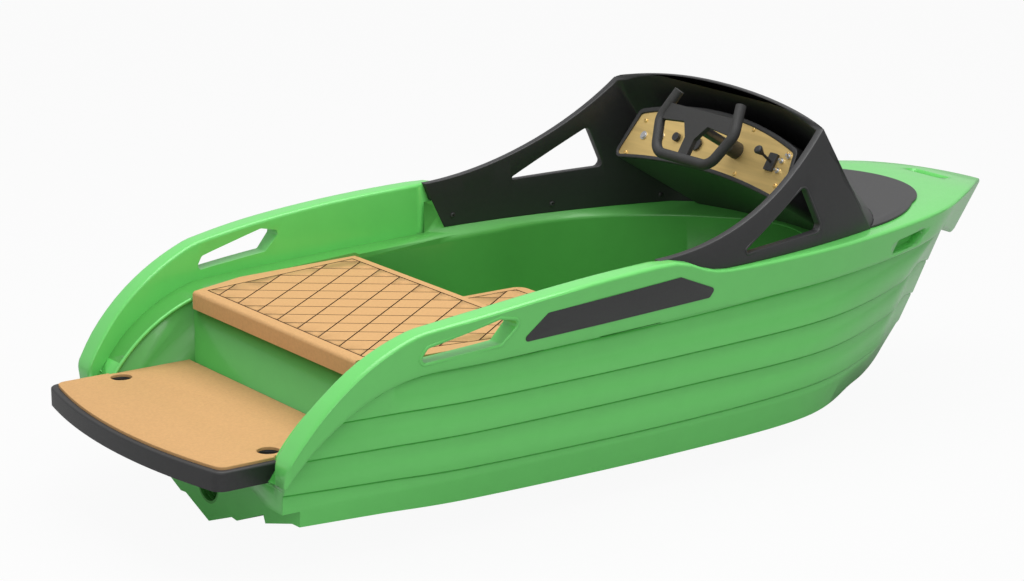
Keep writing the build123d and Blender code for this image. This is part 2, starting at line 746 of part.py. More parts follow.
# Dash: box that runs from the panel to the cowl's front wall, brass panel and black rim
with BuildPart() as dash_room:
    add(cowl_inner)
    add(cowl_well(COWL_T, SKIRT_Z, TOP_Z))
with BuildPart() as dash:
    extrude(dash_outline(RIM_W), amount=DASH_DEPTH, dir=-dash_plane.z_dir)
    with BuildPart(mode=Mode.SUBTRACT):
        extrude(dash_hollow(), amount=DASH_DEPTH, dir=-dash_plane.z_dir)
    add(dash_room.part, mode=Mode.INTERSECT)
dash.part.label = "dash"
export_step(dash.part, "parts/dash.step")

with BuildPart() as dash_panel:
    extrude(dash_outline(-CLEAR), amount=PANEL_T, dir=dash_plane.z_dir)
dash_panel.part.label = "dash_panel"
export_step(dash_panel.part, "parts/dash_panel.step")

with BuildPart() as dash_rim:
    extrude(dash_outline(RIM_W), amount=RIM_OUT, dir=dash_plane.z_dir)
    extrude(dash_outline(0), amount=RIM_OUT, dir=dash_plane.z_dir, mode=Mode.SUBTRACT)
dash_rim.part.label = "dash_rim"
export_step(dash_rim.part, "parts/dash_rim.step")

panel_plane = dash_plane.offset(PANEL_T)

with BuildPart() as push_buttons:
    with BuildSketch(panel_plane):
        with Locations(*BUTTONS_AT):
            Circle(BUTTON_R)
    extrude(amount=BUTTON_T)
    with BuildSketch(panel_plane.offset(BUTTON_T)):
        with Locations(*BUTTONS_AT):
            Circle(BUTTON_CAP_R)
    extrude(amount=BUTTON_T)
push_buttons.part.label = "push_buttons"
export_step(push_buttons.part, "parts/push_buttons.step")

with BuildPart() as selector_knob:
    with BuildSketch(panel_plane):
        with Locations(KNOB_AT):
            Circle(KNOB_R)
    extrude(amount=KNOB_T)
selector_knob.part.label = "selector_knob"
export_step(selector_knob.part, "parts/selector_knob.step")

with BuildPart() as gauge:
    with BuildSketch(panel_plane):
        with Locations(DIAL_AT):
            Circle(DIAL_R)
    extrude(amount=DIAL_T)
gauge.part.label = "gauge"
export_step(gauge.part, "parts/gauge.step")

with BuildPart() as switches:
    with BuildSketch(panel_plane):
        with Locations(*SWITCHES_AT):
            Circle(SWITCH_R)
    extrude(amount=SWITCH_T)
    with BuildSketch(panel_plane.offset(SWITCH_T)):
        with Locations(*SWITCHES_AT):
            Circle(TOGGLE_R)
    extrude(amount=TOGGLE_L)
switches.part.label = "switches"
export_step(switches.part, "parts/switches.step")

# Throttle: base plate and lever with a teardrop knob
with BuildPart() as throttle_base:
    with BuildSketch(panel_plane) as base_plan:
        with Locations(LEVER_AT):
            Rectangle(*LEVER_PLATE)
        fillet(base_plan.vertices(), LEVER_PLATE_R)
    extrude(amount=LEVER_PLATE_T)
throttle_base.part.label = "throttle_base"
export_step(throttle_base.part, "parts/throttle_base.step")

lever_foot = panel_plane.from_local_coords(Vector(LEVER_AT[0], LEVER_AT[1], LEVER_PLATE_T))
lever_tip = panel_plane.from_local_coords(Vector(LEVER_AT[0], LEVER_AT[1] + LEVER_RISE, LEVER_REACH))
lever_axis = lever_tip - lever_foot
lever_plane = Plane(origin=lever_foot, z_dir=lever_axis)
knob_start = lever_axis.length - LEVER_KNOB_L
knob_cap = lever_axis.length - LEVER_CAP_T
with BuildPart() as throttle_lever:
    with BuildSketch(lever_plane):
        Circle(LEVER_R)
    extrude(amount=knob_start)
    with BuildSketch(lever_plane.offset(knob_start)):
        Circle(LEVER_R)
    with BuildSketch(lever_plane.offset(knob_cap)):
        Circle(LEVER_KNOB_R)
    loft()
    with BuildSketch(lever_plane.offset(knob_cap)):
        Circle(LEVER_KNOB_R)
    extrude(amount=LEVER_CAP_T)
    fillet(throttle_lever.edges().filter_by(GeomType.CIRCLE).sort_by(Axis.X)[0], LEVER_CAP_R)
throttle_lever.part.label = "throttle_lever"
export_step(throttle_lever.part, "parts/throttle_lever.step")

# Steering: bearing on the dash panel, column, hub plate and yoke
column_plane = Plane(
    origin=panel_plane.from_local_coords(Vector(HUB_AT[0], HUB_AT[1], 0)),
    x_dir=dash_plane.x_dir,
    z_dir=dash_plane.z_dir,
)
WHEEL_RISE = WHEEL_OUT - PANEL_T
with BuildPart() as column_bearing:
    with BuildSketch(column_plane):
        Circle(BEARING_R)
        Circle(COLUMN_R + COLUMN_CLEAR, mode=Mode.SUBTRACT)
    extrude(amount=BEARING_L)
    aft_rims = column_bearing.edges().filter_by(GeomType.CIRCLE).group_by(Axis.X)[0]
    chamfer(aft_rims.sort_by(SortBy.RADIUS)[-1], BEARING_CHAMFER)
column_bearing.part.label = "column_bearing"
export_step(column_bearing.part, "parts/column_bearing.step")

with BuildPart() as steering_column:
    with BuildSketch(column_plane.offset(STEER_GAP)):
        Circle(COLUMN_R)
    extrude(amount=WHEEL_RISE - SPOKE_T / 2 - STEER_GAP)
steering_column.part.label = "steering_column"
export_step(steering_column.part, "parts/steering_column.step")

wheel_plane = column_plane.offset(WHEEL_RISE)
yoke_points = [
    (-WHEEL_TOP_HALF, WHEEL_UP),
    (-WHEEL_HALF, 0),
    (-WHEEL_FOOT_HALF, -WHEEL_DOWN),
    (WHEEL_FOOT_HALF, -WHEEL_DOWN),
    (WHEEL_HALF, 0),
    (WHEEL_TOP_HALF, WHEEL_UP),
]
with BuildPart() as steering_wheel:
    with BuildLine(wheel_plane) as yoke_path:
        FilletPolyline(*yoke_points, radius=WHEEL_CORNER_R)
    with BuildSketch(Plane(origin=yoke_path.line @ 0, z_dir=yoke_path.line % 0)):
        Circle(GRIP_R)
    sweep()
    with BuildSketch(wheel_plane.offset(-SPOKE_T / 2)):
        with BuildLine():
            Polyline(*SPOKES, close=True)
        make_face()
        mirror(about=Plane.YZ)
    extrude(amount=SPOKE_T)
steering_wheel.part.label = "steering_wheel"
export_step(steering_wheel.part, "parts/steering_wheel.step")

# Side plates on the rails
for side, name in ((1, "side_plate_port"), (-1, "side_plate_starboard")):
    with BuildPart() as side_plate:
        with BuildSketch(Plane.XZ) as plate_outline:
            with BuildLine():
                Polyline(*PLATE, close=True)
            make_face()
            fillet(plate_outline.vertices(), PLATE_R)
        extrude(amount=-FAR * side)
        add(plate_form, mode=Mode.INTERSECT)
        add(rail_form, mode=Mode.SUBTRACT)
    side_plate.part.label = name
    export_step(side_plate.part, f"parts/{name}.step")

# Jet: ribbed liner, stator, steered nozzle, impeller and shaft
with BuildPart() as tunnel_liner:
    with BuildSketch(Plane.YZ):
        with Locations((0, JET_Z)):
            Circle(TUNNEL_R)
            Circle(LINER_BORE_R, mode=Mode.SUBTRACT)
    extrude(amount=LINER_L)
    for index in range(LINER_GROOVES):
        with BuildSketch(Plane.YZ.offset(LINER_GROOVE_X + index * LINER_GROOVE_PITCH)):
            with Locations((0, JET_Z)):
                Circle(LINER_BORE_R + LINER_GROOVE_DEPTH)
        extrude(amount=LINER_GROOVE_PITCH / 2, mode=Mode.SUBTRACT)
    with Locations((NOZZLE_PIVOT_X, 0, JET_Z)):
        Cylinder(NOZZLE_PIN_R + RUNNING, 4 * TUNNEL_R, mode=Mode.SUBTRACT)
tunnel_liner.part.label = "tunnel_liner"
export_step(tunnel_liner.part, "parts/tunnel_liner.step")

with BuildPart() as stator:
    with BuildSketch(Plane.YZ.offset(LINER_L)):
        with Locations((0, JET_Z)):
            Circle(TUNNEL_R)
            Circle(LINER_BORE_R, mode=Mode.SUBTRACT)
    extrude(amount=STATOR_L)
    with BuildSketch(Plane.YZ.offset(LINER_L)):
        with Locations((0, JET_Z)):
            with PolarLocations(0, STATOR_VANES):
                with Locations(((STATOR_HUB_R + LINER_BORE_R) / 2, 0)):
                    Rectangle(LINER_BORE_R - STATOR_HUB_R + BLADE_ROOT, BLADE_T)
            Circle(STATOR_HUB_R)
            Circle(SHAFT_R + RUNNING, mode=Mode.SUBTRACT)
    extrude(amount=STATOR_L)
stator.part.label = "stator"
export_step(stator.part, "parts/stator.step")

with BuildPart() as steering_nozzle:
    with BuildSketch(Plane.YZ.offset(NOZZLE_AFT_X)):
        with Locations((0, JET_Z)):
            Circle(NOZZLE_TIP_R)
    with BuildSketch(Plane.YZ.offset(NOZZLE_FWD_X)):
        with Locations((0, JET_Z)):
            Circle(NOZZLE_ROOT_R)
    loft()
    with BuildSketch(Plane.XY.offset(JET_Z)):
        with Locations((NOZZLE_PIVOT_X, 0)):
            Circle(NOZZLE_PIN_R)
    extrude(amount=NOZZLE_PIN_REACH, both=True)
    with BuildSketch(Plane.YZ.offset(NOZZLE_AFT_X)):
        with Locations((0, JET_Z)):
            Circle(NOZZLE_TIP_R - NOZZLE_WALL)
    with BuildSketch(Plane.YZ.offset(NOZZLE_FWD_X)):
        with Locations((0, JET_Z)):
            Circle(NOZZLE_ROOT_R - NOZZLE_WALL)
    loft(mode=Mode.SUBTRACT)
steering_nozzle.part.label = "steering_nozzle"
export_step(steering_nozzle.part, "parts/steering_nozzle.step")

blade_length = IMPELLER_L / math.cos(math.radians(BLADE_PITCH))
with BuildPart() as impeller:
    for index in range(IMPELLER_BLADES):
        angle = 360 * index / IMPELLER_BLADES
        blade = Location((IMPELLER_X + IMPELLER_L / 2, 0, JET_Z), (angle, 0, 0))
        tilt = Location((0, 0, (IMPELLER_HUB_R + IMPELLER_R) / 2), (0, 0, BLADE_PITCH))
        with Locations(blade * tilt):
            Box(blade_length, BLADE_T, IMPELLER_R - IMPELLER_HUB_R + 2 * BLADE_ROOT)
    with BuildSketch(Plane.YZ.offset(IMPELLER_X)):
        with Locations((0, JET_Z)):
            Circle(IMPELLER_R)
    extrude(amount=IMPELLER_L, mode=Mode.INTERSECT)
    with BuildSketch(Plane.YZ.offset(IMPELLER_X)):
        with Locations((0, JET_Z)):
            Circle(IMPELLER_HUB_R)
    extrude(amount=IMPELLER_L)
    with BuildSketch(Plane.YZ.offset(IMPELLER_X)):
        with Locations((0, JET_Z)):
            Circle(SHAFT_R + FIXED_FIT)
    extrude(amount=IMPELLER_L, mode=Mode.SUBTRACT)
impeller.part.label = "impeller"
export_step(impeller.part, "parts/impeller.step")

with BuildPart() as drive_shaft:
    with BuildSketch(Plane.YZ.offset(SHAFT_AFT_X)):
        with Locations((0, JET_Z)):
            Circle(SHAFT_R)
    extrude(amount=MOTOR_X - STEER_GAP - SHAFT_AFT_X)
drive_shaft.part.label = "drive_shaft"
export_step(drive_shaft.part, "parts/drive_shaft.step")

# Grate over the intake, to the bottom's V
grate_x = (INTAKE_ROOF[0][0], INTAKE_ROOF[2][0])
grate_low = KEEL_Z + GRATE_UP
grate_side = grate_low + GRATE_SLOPE * INTAKE_Y
gap_length = grate_x[1] - grate_x[0] - 2 * GRATE_BAR
pitch = 2 * INTAKE_Y / (GRATE_BARS + 1)
with BuildPart() as intake_grate:
    with BuildSketch(Plane.YZ.offset(grate_x[0])):
        with BuildLine():
            Polyline((0, grate_low), (INTAKE_Y, grate_side), (INTAKE_Y, grate_side + GRATE_DEPTH))
            Line((INTAKE_Y, grate_side + GRATE_DEPTH), (0, grate_low + GRATE_DEPTH))
            Line((0, grate_low + GRATE_DEPTH), (-INTAKE_Y, grate_side + GRATE_DEPTH))
            Polyline((-INTAKE_Y, grate_side + GRATE_DEPTH), (-INTAKE_Y, grate_side), (0, grate_low))
        make_face()
    extrude(amount=grate_x[1] - grate_x[0])
    with BuildSketch(Plane.XY.offset(KEEL_Z)):
        with Locations(((grate_x[0] + grate_x[1]) / 2, 0)):
            with GridLocations(0, pitch, 1, GRATE_BARS + 1):
                Rectangle(gap_length, pitch - GRATE_BAR)
    extrude(amount=INTAKE_Y, mode=Mode.SUBTRACT)
intake_grate.part.label = "intake_grate"
export_step(intake_grate.part, "parts/intake_grate.step")

# Heavy blocks
with BuildPart() as motor_block:
    with Locations((MOTOR_X + MOTOR[0] / 2, 0, MOTOR_BAY_Z + MOTOR[2] / 2)):
        Box(*MOTOR)
motor_block.part.label = "motor_block"
export_step(motor_block.part, "parts/motor_block.step")

with BuildPart() as battery_block:
    with Locations((BATTERY_X, 0, LOCKER_Z + BATTERY[2] / 2)):
        Box(*BATTERY)
battery_block.part.label = "battery_block"
export_step(battery_block.part, "parts/battery_block.step")
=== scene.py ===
# Looks of the small electric jet boat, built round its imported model. Metres.
# +X is the bow, +Y is port, +Z is up; the origin is on the waterline at the transom.
import math

import bmesh
import bpy
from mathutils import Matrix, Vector
from mathutils.bvhtree import BVHTree


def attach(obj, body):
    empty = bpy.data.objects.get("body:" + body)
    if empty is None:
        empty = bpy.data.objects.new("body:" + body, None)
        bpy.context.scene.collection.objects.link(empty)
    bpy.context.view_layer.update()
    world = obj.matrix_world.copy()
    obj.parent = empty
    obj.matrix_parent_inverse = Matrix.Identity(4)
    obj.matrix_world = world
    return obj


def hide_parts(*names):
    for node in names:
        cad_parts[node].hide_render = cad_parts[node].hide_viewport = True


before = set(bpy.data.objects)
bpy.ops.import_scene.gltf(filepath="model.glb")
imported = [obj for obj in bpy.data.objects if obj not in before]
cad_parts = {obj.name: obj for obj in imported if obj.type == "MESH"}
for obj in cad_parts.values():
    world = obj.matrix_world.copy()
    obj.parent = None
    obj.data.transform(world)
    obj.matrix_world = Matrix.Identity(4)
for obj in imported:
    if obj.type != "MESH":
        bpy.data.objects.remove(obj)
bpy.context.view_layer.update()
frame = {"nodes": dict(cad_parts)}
nodes = frame["nodes"]
MM = 0.001

# Camera and stage
CAMERA_AT = (-3.470540, -6.295097, 2.389799)
CAMERA_TURN = (75.05788, 0.0, -35.21812)
CAMERA_LENS = 101.293
SENSOR_WIDTH = 36.0
FLOOR_Z = -0.145
FLOOR_HALF = 30.0
FLOOR_GREY = (0.50, 0.50, 0.50, 1)
FLOOR_GLOW = 0.94
WORLD_STRENGTH = 0.60
WHITE = (1, 1, 1, 1)
# One row a lamp: name, place, turn in degrees, size, power
LAMPS = (
    ("overhead", (0.9, -0.3, 4.2), (0, 0, 0), 4.0, 165.0),
    ("side", (-2.5, -4.5, 3.0), (58, 0, -30), 3.0, 50.0),
)

# Finishes, as linear colours
GREEN = (0.140, 0.620, 0.132, 1)
# The deeper green is the same gelcoat darkened: painted shade for the cockpit's inside
GREEN_PAINTED_SHADE = (0.080, 0.360, 0.066, 1)
BLACK = (0.024, 0.024, 0.025, 1)
TAN = (0.600, 0.350, 0.150, 1)
GROOVE_BROWN = (0.085, 0.045, 0.022, 1)
BRASS = (0.780, 0.560, 0.220, 1)
SILVER = (0.560, 0.560, 0.570, 1)
STEEL_DARK = (0.110, 0.110, 0.115, 1)
RUBBER = (0.022, 0.022, 0.022, 1)
PLATE = (0.030, 0.030, 0.031, 1)
CASTING = (0.42, 0.43, 0.45, 1)
CASE = (0.05, 0.05, 0.055, 1)
COAT_ROUGHNESS = 0.06
GRAIN_LOW, GRAIN_HIGH = 0.3, 0.7
GRAIN_DETAIL = 4.0
COARSE_SHARE = 0.08


def camera_and_light():
    """Camera, plain pale world, two lamps and the floor."""
    camera = bpy.data.objects.new("camera", bpy.data.cameras.new("camera"))
    camera.location = CAMERA_AT
    camera.rotation_euler = [math.radians(a) for a in CAMERA_TURN]
    camera.data.lens = CAMERA_LENS
    camera.data.sensor_width = SENSOR_WIDTH
    camera.data.clip_end = 100.0
    bpy.context.scene.collection.objects.link(camera)
    bpy.context.scene.camera = camera

    world = bpy.data.worlds.new("studio")
    bpy.context.scene.world = world
    world.use_nodes = True
    tree = world.node_tree
    back = tree.nodes["Background"]
    back.inputs["Color"].default_value = WHITE
    seen = tree.nodes.new("ShaderNodeBackground")
    seen.inputs["Color"].default_value = WHITE
    seen.inputs["Strength"].default_value = 1.0
    back.inputs["Strength"].default_value = WORLD_STRENGTH
    path = tree.nodes.new("ShaderNodeLightPath")
    mix = tree.nodes.new("ShaderNodeMixShader")
    tree.links.new(path.outputs["Is Camera Ray"], mix.inputs[0])
    tree.links.new(back.outputs[0], mix.inputs[1])
    tree.links.new(seen.outputs[0], mix.inputs[2])
    tree.links.new(mix.outputs[0], tree.nodes["World Output"].inputs["Surface"])

    for name, place, turn, size, power in LAMPS:
        lamp = bpy.data.lights.new(name, "AREA")
        lamp.shape = "SQUARE"
        lamp.size = size
        lamp.energy = power
        holder = bpy.data.objects.new(name, lamp)
        holder.location = place
        holder.rotation_euler = [math.radians(a) for a in turn]
        bpy.context.scene.collection.objects.link(holder)

    mesh = bpy.data.meshes.new("floor")
    corners = [(x * FLOOR_HALF, y * FLOOR_HALF, FLOOR_Z) for x, y in ((-1, -1), (1, -1), (1, 1), (-1, 1))]
    mesh.from_pydata(corners, [], [(0, 1, 2, 3)])
    mesh.validate()
    floor = bpy.data.objects.new("floor", mesh)
    bpy.context.scene.collection.objects.link(floor)
    mat = bpy.data.materials.new("pale_floor")
    mat.use_nodes = True
    tree = mat.node_tree
    tree.nodes.clear()
    out = tree.nodes.new("ShaderNodeOutputMaterial")
    lit = tree.nodes.new("ShaderNodeBsdfDiffuse")
    lit.inputs["Color"].default_value = FLOOR_GREY
    glow = tree.nodes.new("ShaderNodeEmission")
    glow.inputs["Strength"].default_value = 1.0
    path = tree.nodes.new("ShaderNodeLightPath")
    share = tree.nodes.new("ShaderNodeMath")
    share.operation = "MULTIPLY"
    share.inputs[1].default_value = FLOOR_GLOW
    mix = tree.nodes.new("ShaderNodeMixShader")
    tree.links.new(path.outputs["Is Camera Ray"], share.inputs[0])
    tree.links.new(share.outputs[0], mix.inputs[0])
    tree.links.new(lit.outputs[0], mix.inputs[1])
    tree.links.new(glow.outputs[0], mix.inputs[2])
    tree.links.new(mix.outputs[0], out.inputs["Surface"])
    floor.data.materials.append(mat)


# Shared effects
def new_group(name, inputs, outputs):
    """Shader node group with named sockets."""
    group = bpy.data.node_groups.new(name, "ShaderNodeTree")
    for label, kind, value in inputs:
        socket = group.interface.new_socket(label, in_out="INPUT", socket_type=kind)
        if value is not None:
            socket.default_value = value
    for label, kind in outputs:
        group.interface.new_socket(label, in_out="OUTPUT", socket_type=kind)
    return group, group.nodes.new("NodeGroupInput"), group.nodes.new("NodeGroupOutput")


def grain_group():
    """Two scales of noise as a mask round one half and a height, on Object coordinates."""
    group, given, result = new_group(
        "grain",
        [("Scale", "NodeSocketFloat", 100.0), ("Detail", "NodeSocketFloat", GRAIN_DETAIL),
         ("Stretch", "NodeSocketVector", (1, 1, 1))],
        [("Mask", "NodeSocketFloat"), ("Height", "NodeSocketFloat")],
    )
    where = group.nodes.new("ShaderNodeTexCoord")
    scaled = group.nodes.new("ShaderNodeVectorMath")
    scaled.operation = "MULTIPLY"
    coarse = group.nodes.new("ShaderNodeTexNoise")
    fine = group.nodes.new("ShaderNodeTexNoise")
    coarse_scale = group.nodes.new("ShaderNodeMath")
    coarse_scale.operation = "MULTIPLY"
    coarse_scale.inputs[1].default_value = COARSE_SHARE
    link = group.links.new
    link(where.outputs["Object"], scaled.inputs[0])
    link(given.outputs["Stretch"], scaled.inputs[1])
    link(scaled.outputs[0], coarse.inputs["Vector"])
    link(scaled.outputs[0], fine.inputs["Vector"])
    link(given.outputs["Scale"], coarse_scale.inputs[0])
    link(coarse_scale.outputs[0], coarse.inputs["Scale"])
    link(given.outputs["Scale"], fine.inputs["Scale"])
    link(given.outputs["Detail"], fine.inputs["Detail"])
    link(coarse.outputs["Fac"], result.inputs["Mask"])
    link(fine.outputs["Fac"], result.inputs["Height"])
    return group


def finish_material(name, color, roughness, scale, bump, metallic=0.0, coat=0.0, mottle=0.06, rough_play=0.08,
                    stretch=(1, 1, 1), specular=0.5, depth=0.0004):
    """Principled material whose colour, roughness and bump vary with the shared grain."""
    mat = bpy.data.materials.new(name)
    mat.use_nodes = True
    tree = mat.node_tree
    shader = tree.nodes["Principled BSDF"]
    shader.inputs["Metallic"].default_value = metallic
    shader.inputs["Coat Weight"].default_value = coat
    shader.inputs["Coat Roughness"].default_value = COAT_ROUGHNESS
    shader.inputs["Specular IOR Level"].default_value = specular
    grain = tree.nodes.new("ShaderNodeGroup")
    grain.node_tree = GRAIN
    grain.inputs["Scale"].default_value = scale
    grain.inputs["Detail"].default_value = GRAIN_DETAIL
    grain.inputs["Stretch"].default_value = stretch
    tone = tree.nodes.new("ShaderNodeMapRange")
    tone.inputs["From Min"].default_value = GRAIN_LOW
    tone.inputs["From Max"].default_value = GRAIN_HIGH
    tone.inputs["To Min"].default_value = 1.0 - mottle
    tone.inputs["To Max"].default_value = 1.0 + mottle
    tint = tree.nodes.new("ShaderNodeVectorMath")
    tint.operation = "SCALE"
    tint.inputs[0].default_value = color[:3]
    rough = tree.nodes.new("ShaderNodeMapRange")
    rough.inputs["From Min"].default_value = GRAIN_LOW
    rough.inputs["From Max"].default_value = GRAIN_HIGH
    rough.inputs["To Min"].default_value = max(roughness - rough_play, 0.02)
    rough.inputs["To Max"].default_value = min(roughness + rough_play, 1.0)
    lift = tree.nodes.new("ShaderNodeBump")
    lift.inputs["Strength"].default_value = bump
    lift.inputs["Distance"].default_value = depth
    link = tree.links.new
    link(grain.outputs["Mask"], tone.inputs["Value"])
    link(tone.outputs["Result"], tint.inputs["Scale"])
    link(tint.outputs[0], shader.inputs["Base Color"])
    link(grain.outputs["Height"], rough.inputs["Value"])
    link(rough.outputs["Result"], shader.inputs["Roughness"])
    link(grain.outputs["Height"], lift.inputs["Height"])
    link(lift.outputs["Normal"], shader.inputs["Normal"])
    return mat


GRAIN = grain_group()
gelcoat = finish_material("green_gelcoat", GREEN, 0.32, 260, 0.04, coat=0.35, mottle=0.015, rough_play=0.04)
# Darker copy of the green gelcoat: painted shade on the walls, ledges, hump, seat box and jet bore inside the
# cockpit
gelcoat_painted_shade = finish_material("green_painted_shade", GREEN_PAINTED_SHADE, 0.36, 260, 0.05, coat=0.25, mottle=0.02, rough_play=0.05)
cowl_black = finish_material("cowl_black", BLACK, 0.42, 900, 0.25, mottle=0.05, rough_play=0.06)
moulded_black = finish_material("moulded_black", BLACK, 0.50, 1400, 0.5, mottle=0.08)
grip_rubber = finish_material("grip_rubber", RUBBER, 0.62, 2200, 0.7, mottle=0.10)
foam_tan = finish_material("foam_tan", TAN, 0.85, 1800, 0.8, mottle=0.05, specular=0.25, depth=0.0006)
plate_black = finish_material("plate_black", PLATE, 0.38, 1400, 0.3, mottle=0.05)
groove_brown = finish_material("groove_brown", GROOVE_BROWN, 0.90, 1800, 0.6, mottle=0.10, specular=0.2)
brass = finish_material("brushed_brass", BRASS, 0.36, 700, 0.5, metallic=0.75, mottle=0.12, stretch=(1, 0.06, 1))
silver = finish_material("satin_silver", SILVER, 0.30, 900, 0.2, metallic=0.9, mottle=0.04)
steel_dark = finish_material("dark_steel", STEEL_DARK, 0.35, 900, 0.2, metallic=0.8, mottle=0.06)
cast_metal = finish_material("cast_metal", CASTING, 0.45, 1100, 0.5, metallic=0.85, mottle=0.08)
painted_case = finish_material("painted_case", CASE, 0.5, 500, 0.3, mottle=0.06)


# Moulded form, in millimetres as the part has it: one row a station with the keel's x, the upper
# edge's x, the keel's height, then half breadth and height of the upper edge, rail foot, three laps and chine
KEEL_Z = -142.0
TOP_Z = 471.0
OVER_Z = 620.0
STATIONS = [
    (-87, -87, -142, (552, 471), (534, 346), (517, 250), (496, 160), (474, 72), (461, -22)),
    (220, 220, -142, (584, 471), (562, 350), (542, 250), (519, 157), (493, 61), (470, -34)),
    (530, 530, -142, (612, 471), (586, 353), (565, 250), (539, 155), (510, 52), (478, -47)),
    (1177, 1177, -142, (581, 471), (562, 358), (545, 250), (521, 153), (496, 45), (465, -56)),
    (1694, 1694, -142, (540, 471), (522, 375), (504, 254), (483, 155), (451, 50), (414, -58)),
    (1996, 2168, -140, (410, 471), (394, 379), (336, 250), (318, 155), (296, 47), (246, -56)),
    (2194, 2446, -119, (254, 471), (210, 360), (158, 240), (144, 140), (128, 32), (98, -78)),
    (2324, 2702, -75, (14, 471), (13, 300), (12, 195), (12, 100), (12, 20), (12, -60)),
]
RAIL_PROUD = (63, 17, 9, 9, 9, 9, 9, 9)
RAIL_REACH = 65.0
LAP = 7.0
LAP_DROP = 3.0
BOTTOM = [(0.263, 0.39), (0.32, 0.37), (0.614, 0.85), (0.635, 0.67), (0.92, 0.99)]
FAIR_STEPS = 12
FOREFOOT_X = 2150.0
FOREFOOT_RISE = 150.0
FOREFOOT_BACK = 34.0
OPENING = [(-400, 470), (-87, 490), (40, 513), (150, 522), (336, 546), (480, 556), (700, 557), (1140, 543)]
COWL_BASE = [(1044, 571), (1480, 545), (1885, 455), (2110, 0)]
HANDLE = [(276, 378), (513, 397), (566, 452), (500, 466), (300, 418)]
HANDLE_R = 12.0
BOW_HANDLE = (2035, 440, 412)
BOW_HANDLE_TURN = (15.0, 2.0)
BOW_HANDLE_OUTLINE = [(-92, -20), (-68, 20), (84, 21), (96, 4), (58, -20)]
BOW_HANDLE_R = 8.0
BOW_HANDLE_DEPTHS = (-30.0, 46.0)
BOW_RECESS = (2525.0, 22.0, 170.0, 449.0)  # middle's x, end radius, length across the boat, floor height
STEP_Z = 17.0
WING_AFT_X = -50.0
INTAKE = (300.0, 540.0, 55.0)  # aft end, fore end, half breadth
EDGE_R = 12.0
FOOT_R = 5.0
TUCK = 14.0
SHELF_Y = 459.5
PATCH_LIFT = 0.0015
WINDOW = [(1335, 500), (1592, 642), (1655, 512)]
WINDOW_BORDER_R = (9.0, 20.0, 20.0)
GROOVE_SHARE = 0.7
GROOVE_DROP = 4.0
# Set-back and inset of the rail's sections where it is rounded off at the stern and at the bow
STERN_ROUND = ((0.0, 8.0), (2.5, 3.5), (6.0, 1.0), (10.0, 0.0))
BOW_ROUND = ((16.0, 2.0), (8.0, 7.0), (2.5, 13.0), (0.0, 18.0))


def arc_points(start, middle, end, count=24):
    """Points on the arc through three points."""
    (ax, ay), (bx, by), (cx, cy) = start, middle, end
    turn = 2 * (ax * (by - cy) + bx * (cy - ay) + cx * (ay - by))
    square = [x * x + y * y for x, y in (start, middle, end)]
    ox = (square[0] * (by - cy) + square[1] * (cy - ay) + square[2] * (ay - by)) / turn
    oy = (square[0] * (cx - bx) + square[1] * (ax - cx) + square[2] * (bx - ax)) / turn
    radius = math.hypot(ax - ox, ay - oy)
    angles = [math.atan2(y - oy, x - ox) for x, y in (start, middle, end)]
    first = angles[0]
    mid_turn = (angles[1] - first) % math.tau
    whole = (angles[2] - first) % math.tau
    if mid_turn > whole:
        whole -= math.tau
    points = []
    for step in range(count + 1):
        angle = first + whole * step / count
        points.append((ox + radius * math.cos(angle), oy + radius * math.sin(angle)))
    return points


def along(curve, x):
    """Second value on a curve of points at a length, held past its ends."""
    if x <= curve[0][0]:
        return curve[0][1]
    for (x0, v0), (x1, v1) in zip(curve, curve[1:]):
        if x <= x1:
            return v0 + (v1 - v0) * (x - x0) / max(x1 - x0, 1e-6)
    return curve[-1][1]


UPPER_EDGE = (
    arc_points((-87, 168), (64, 345), (280, 460))
    + arc_points((280, 460), (620, 502), (1044, 526))
    + [(1080, 524), (1115, 517), (1140, 507), (1165, 496), (1190, 486), (1215, 479), (1250, 473), (1290, 471)]
    + arc_points((2420, 471), (2600, 456), (2830, 392))
)
RAIL_FOOT = (
    arc_points((-87, 104), (60, 254), (340, 348))
    + arc_points((2120, 380), (2420, 350), (2590, 278))
    + [(2625, 282), (2680, 306), (2800, 370)]
)
LEDGE = arc_points((-75, 106), (50, 255), (270, 352)) + [(1116, 382), (4000, 382)]
COWL_FOOT = arc_points(*COWL_BASE[:3]) + arc_points((1885, 455), (2110, 0), (1885, -455), 48)[1:25]


def between(rows, index, t):
    """Row of numbers on the smooth curve through the table's rows, a share t past a row."""
    last = len(rows) - 1
    picked = [rows[min(max(index + step, 0), last)] for step in (-1, 0, 1, 2)]
    blended = []
    for before, start, end, after in zip(*picked):
        slope_in = (end - before) / 2
        slope_out = (after - start) / 2
        blended.append(
            start * (2 * t**3 - 3 * t**2 + 1)
            + slope_in * (t**3 - 2 * t**2 + t)
            + end * (3 * t**2 - 2 * t**3)
            + slope_out * (t**3 - t**2)
        )
    return blended


def fair_rows(proud, reach):
    """Faired stations, close together along the whole boat."""
    flat = [[*row[:3], out] + [v for pair in row[3:] for v in pair] for row, out in zip(STATIONS, proud)]
    flat[-1][1] += reach
    rows = []
    for index in range(len(flat) - 1):
        rows += [between(flat, index, step / FAIR_STEPS) for step in range(FAIR_STEPS)]
    return rows + [flat[-1]]


def station_x(row, z):
    """Length at which a raked station has a height."""
    return row[0] + (row[1] - row[0]) * (z - KEEL_Z) / (TOP_Z - KEEL_Z)


def meets(row, curve):
    """Height at which a station crosses a curve in side view."""
    low, high = KEEL_Z, OVER_Z
    for _ in range(40):
        middle = (low + high) / 2
        if middle < along(curve, station_x(row, middle)):
            low = middle
        else:
            high = middle
    return low


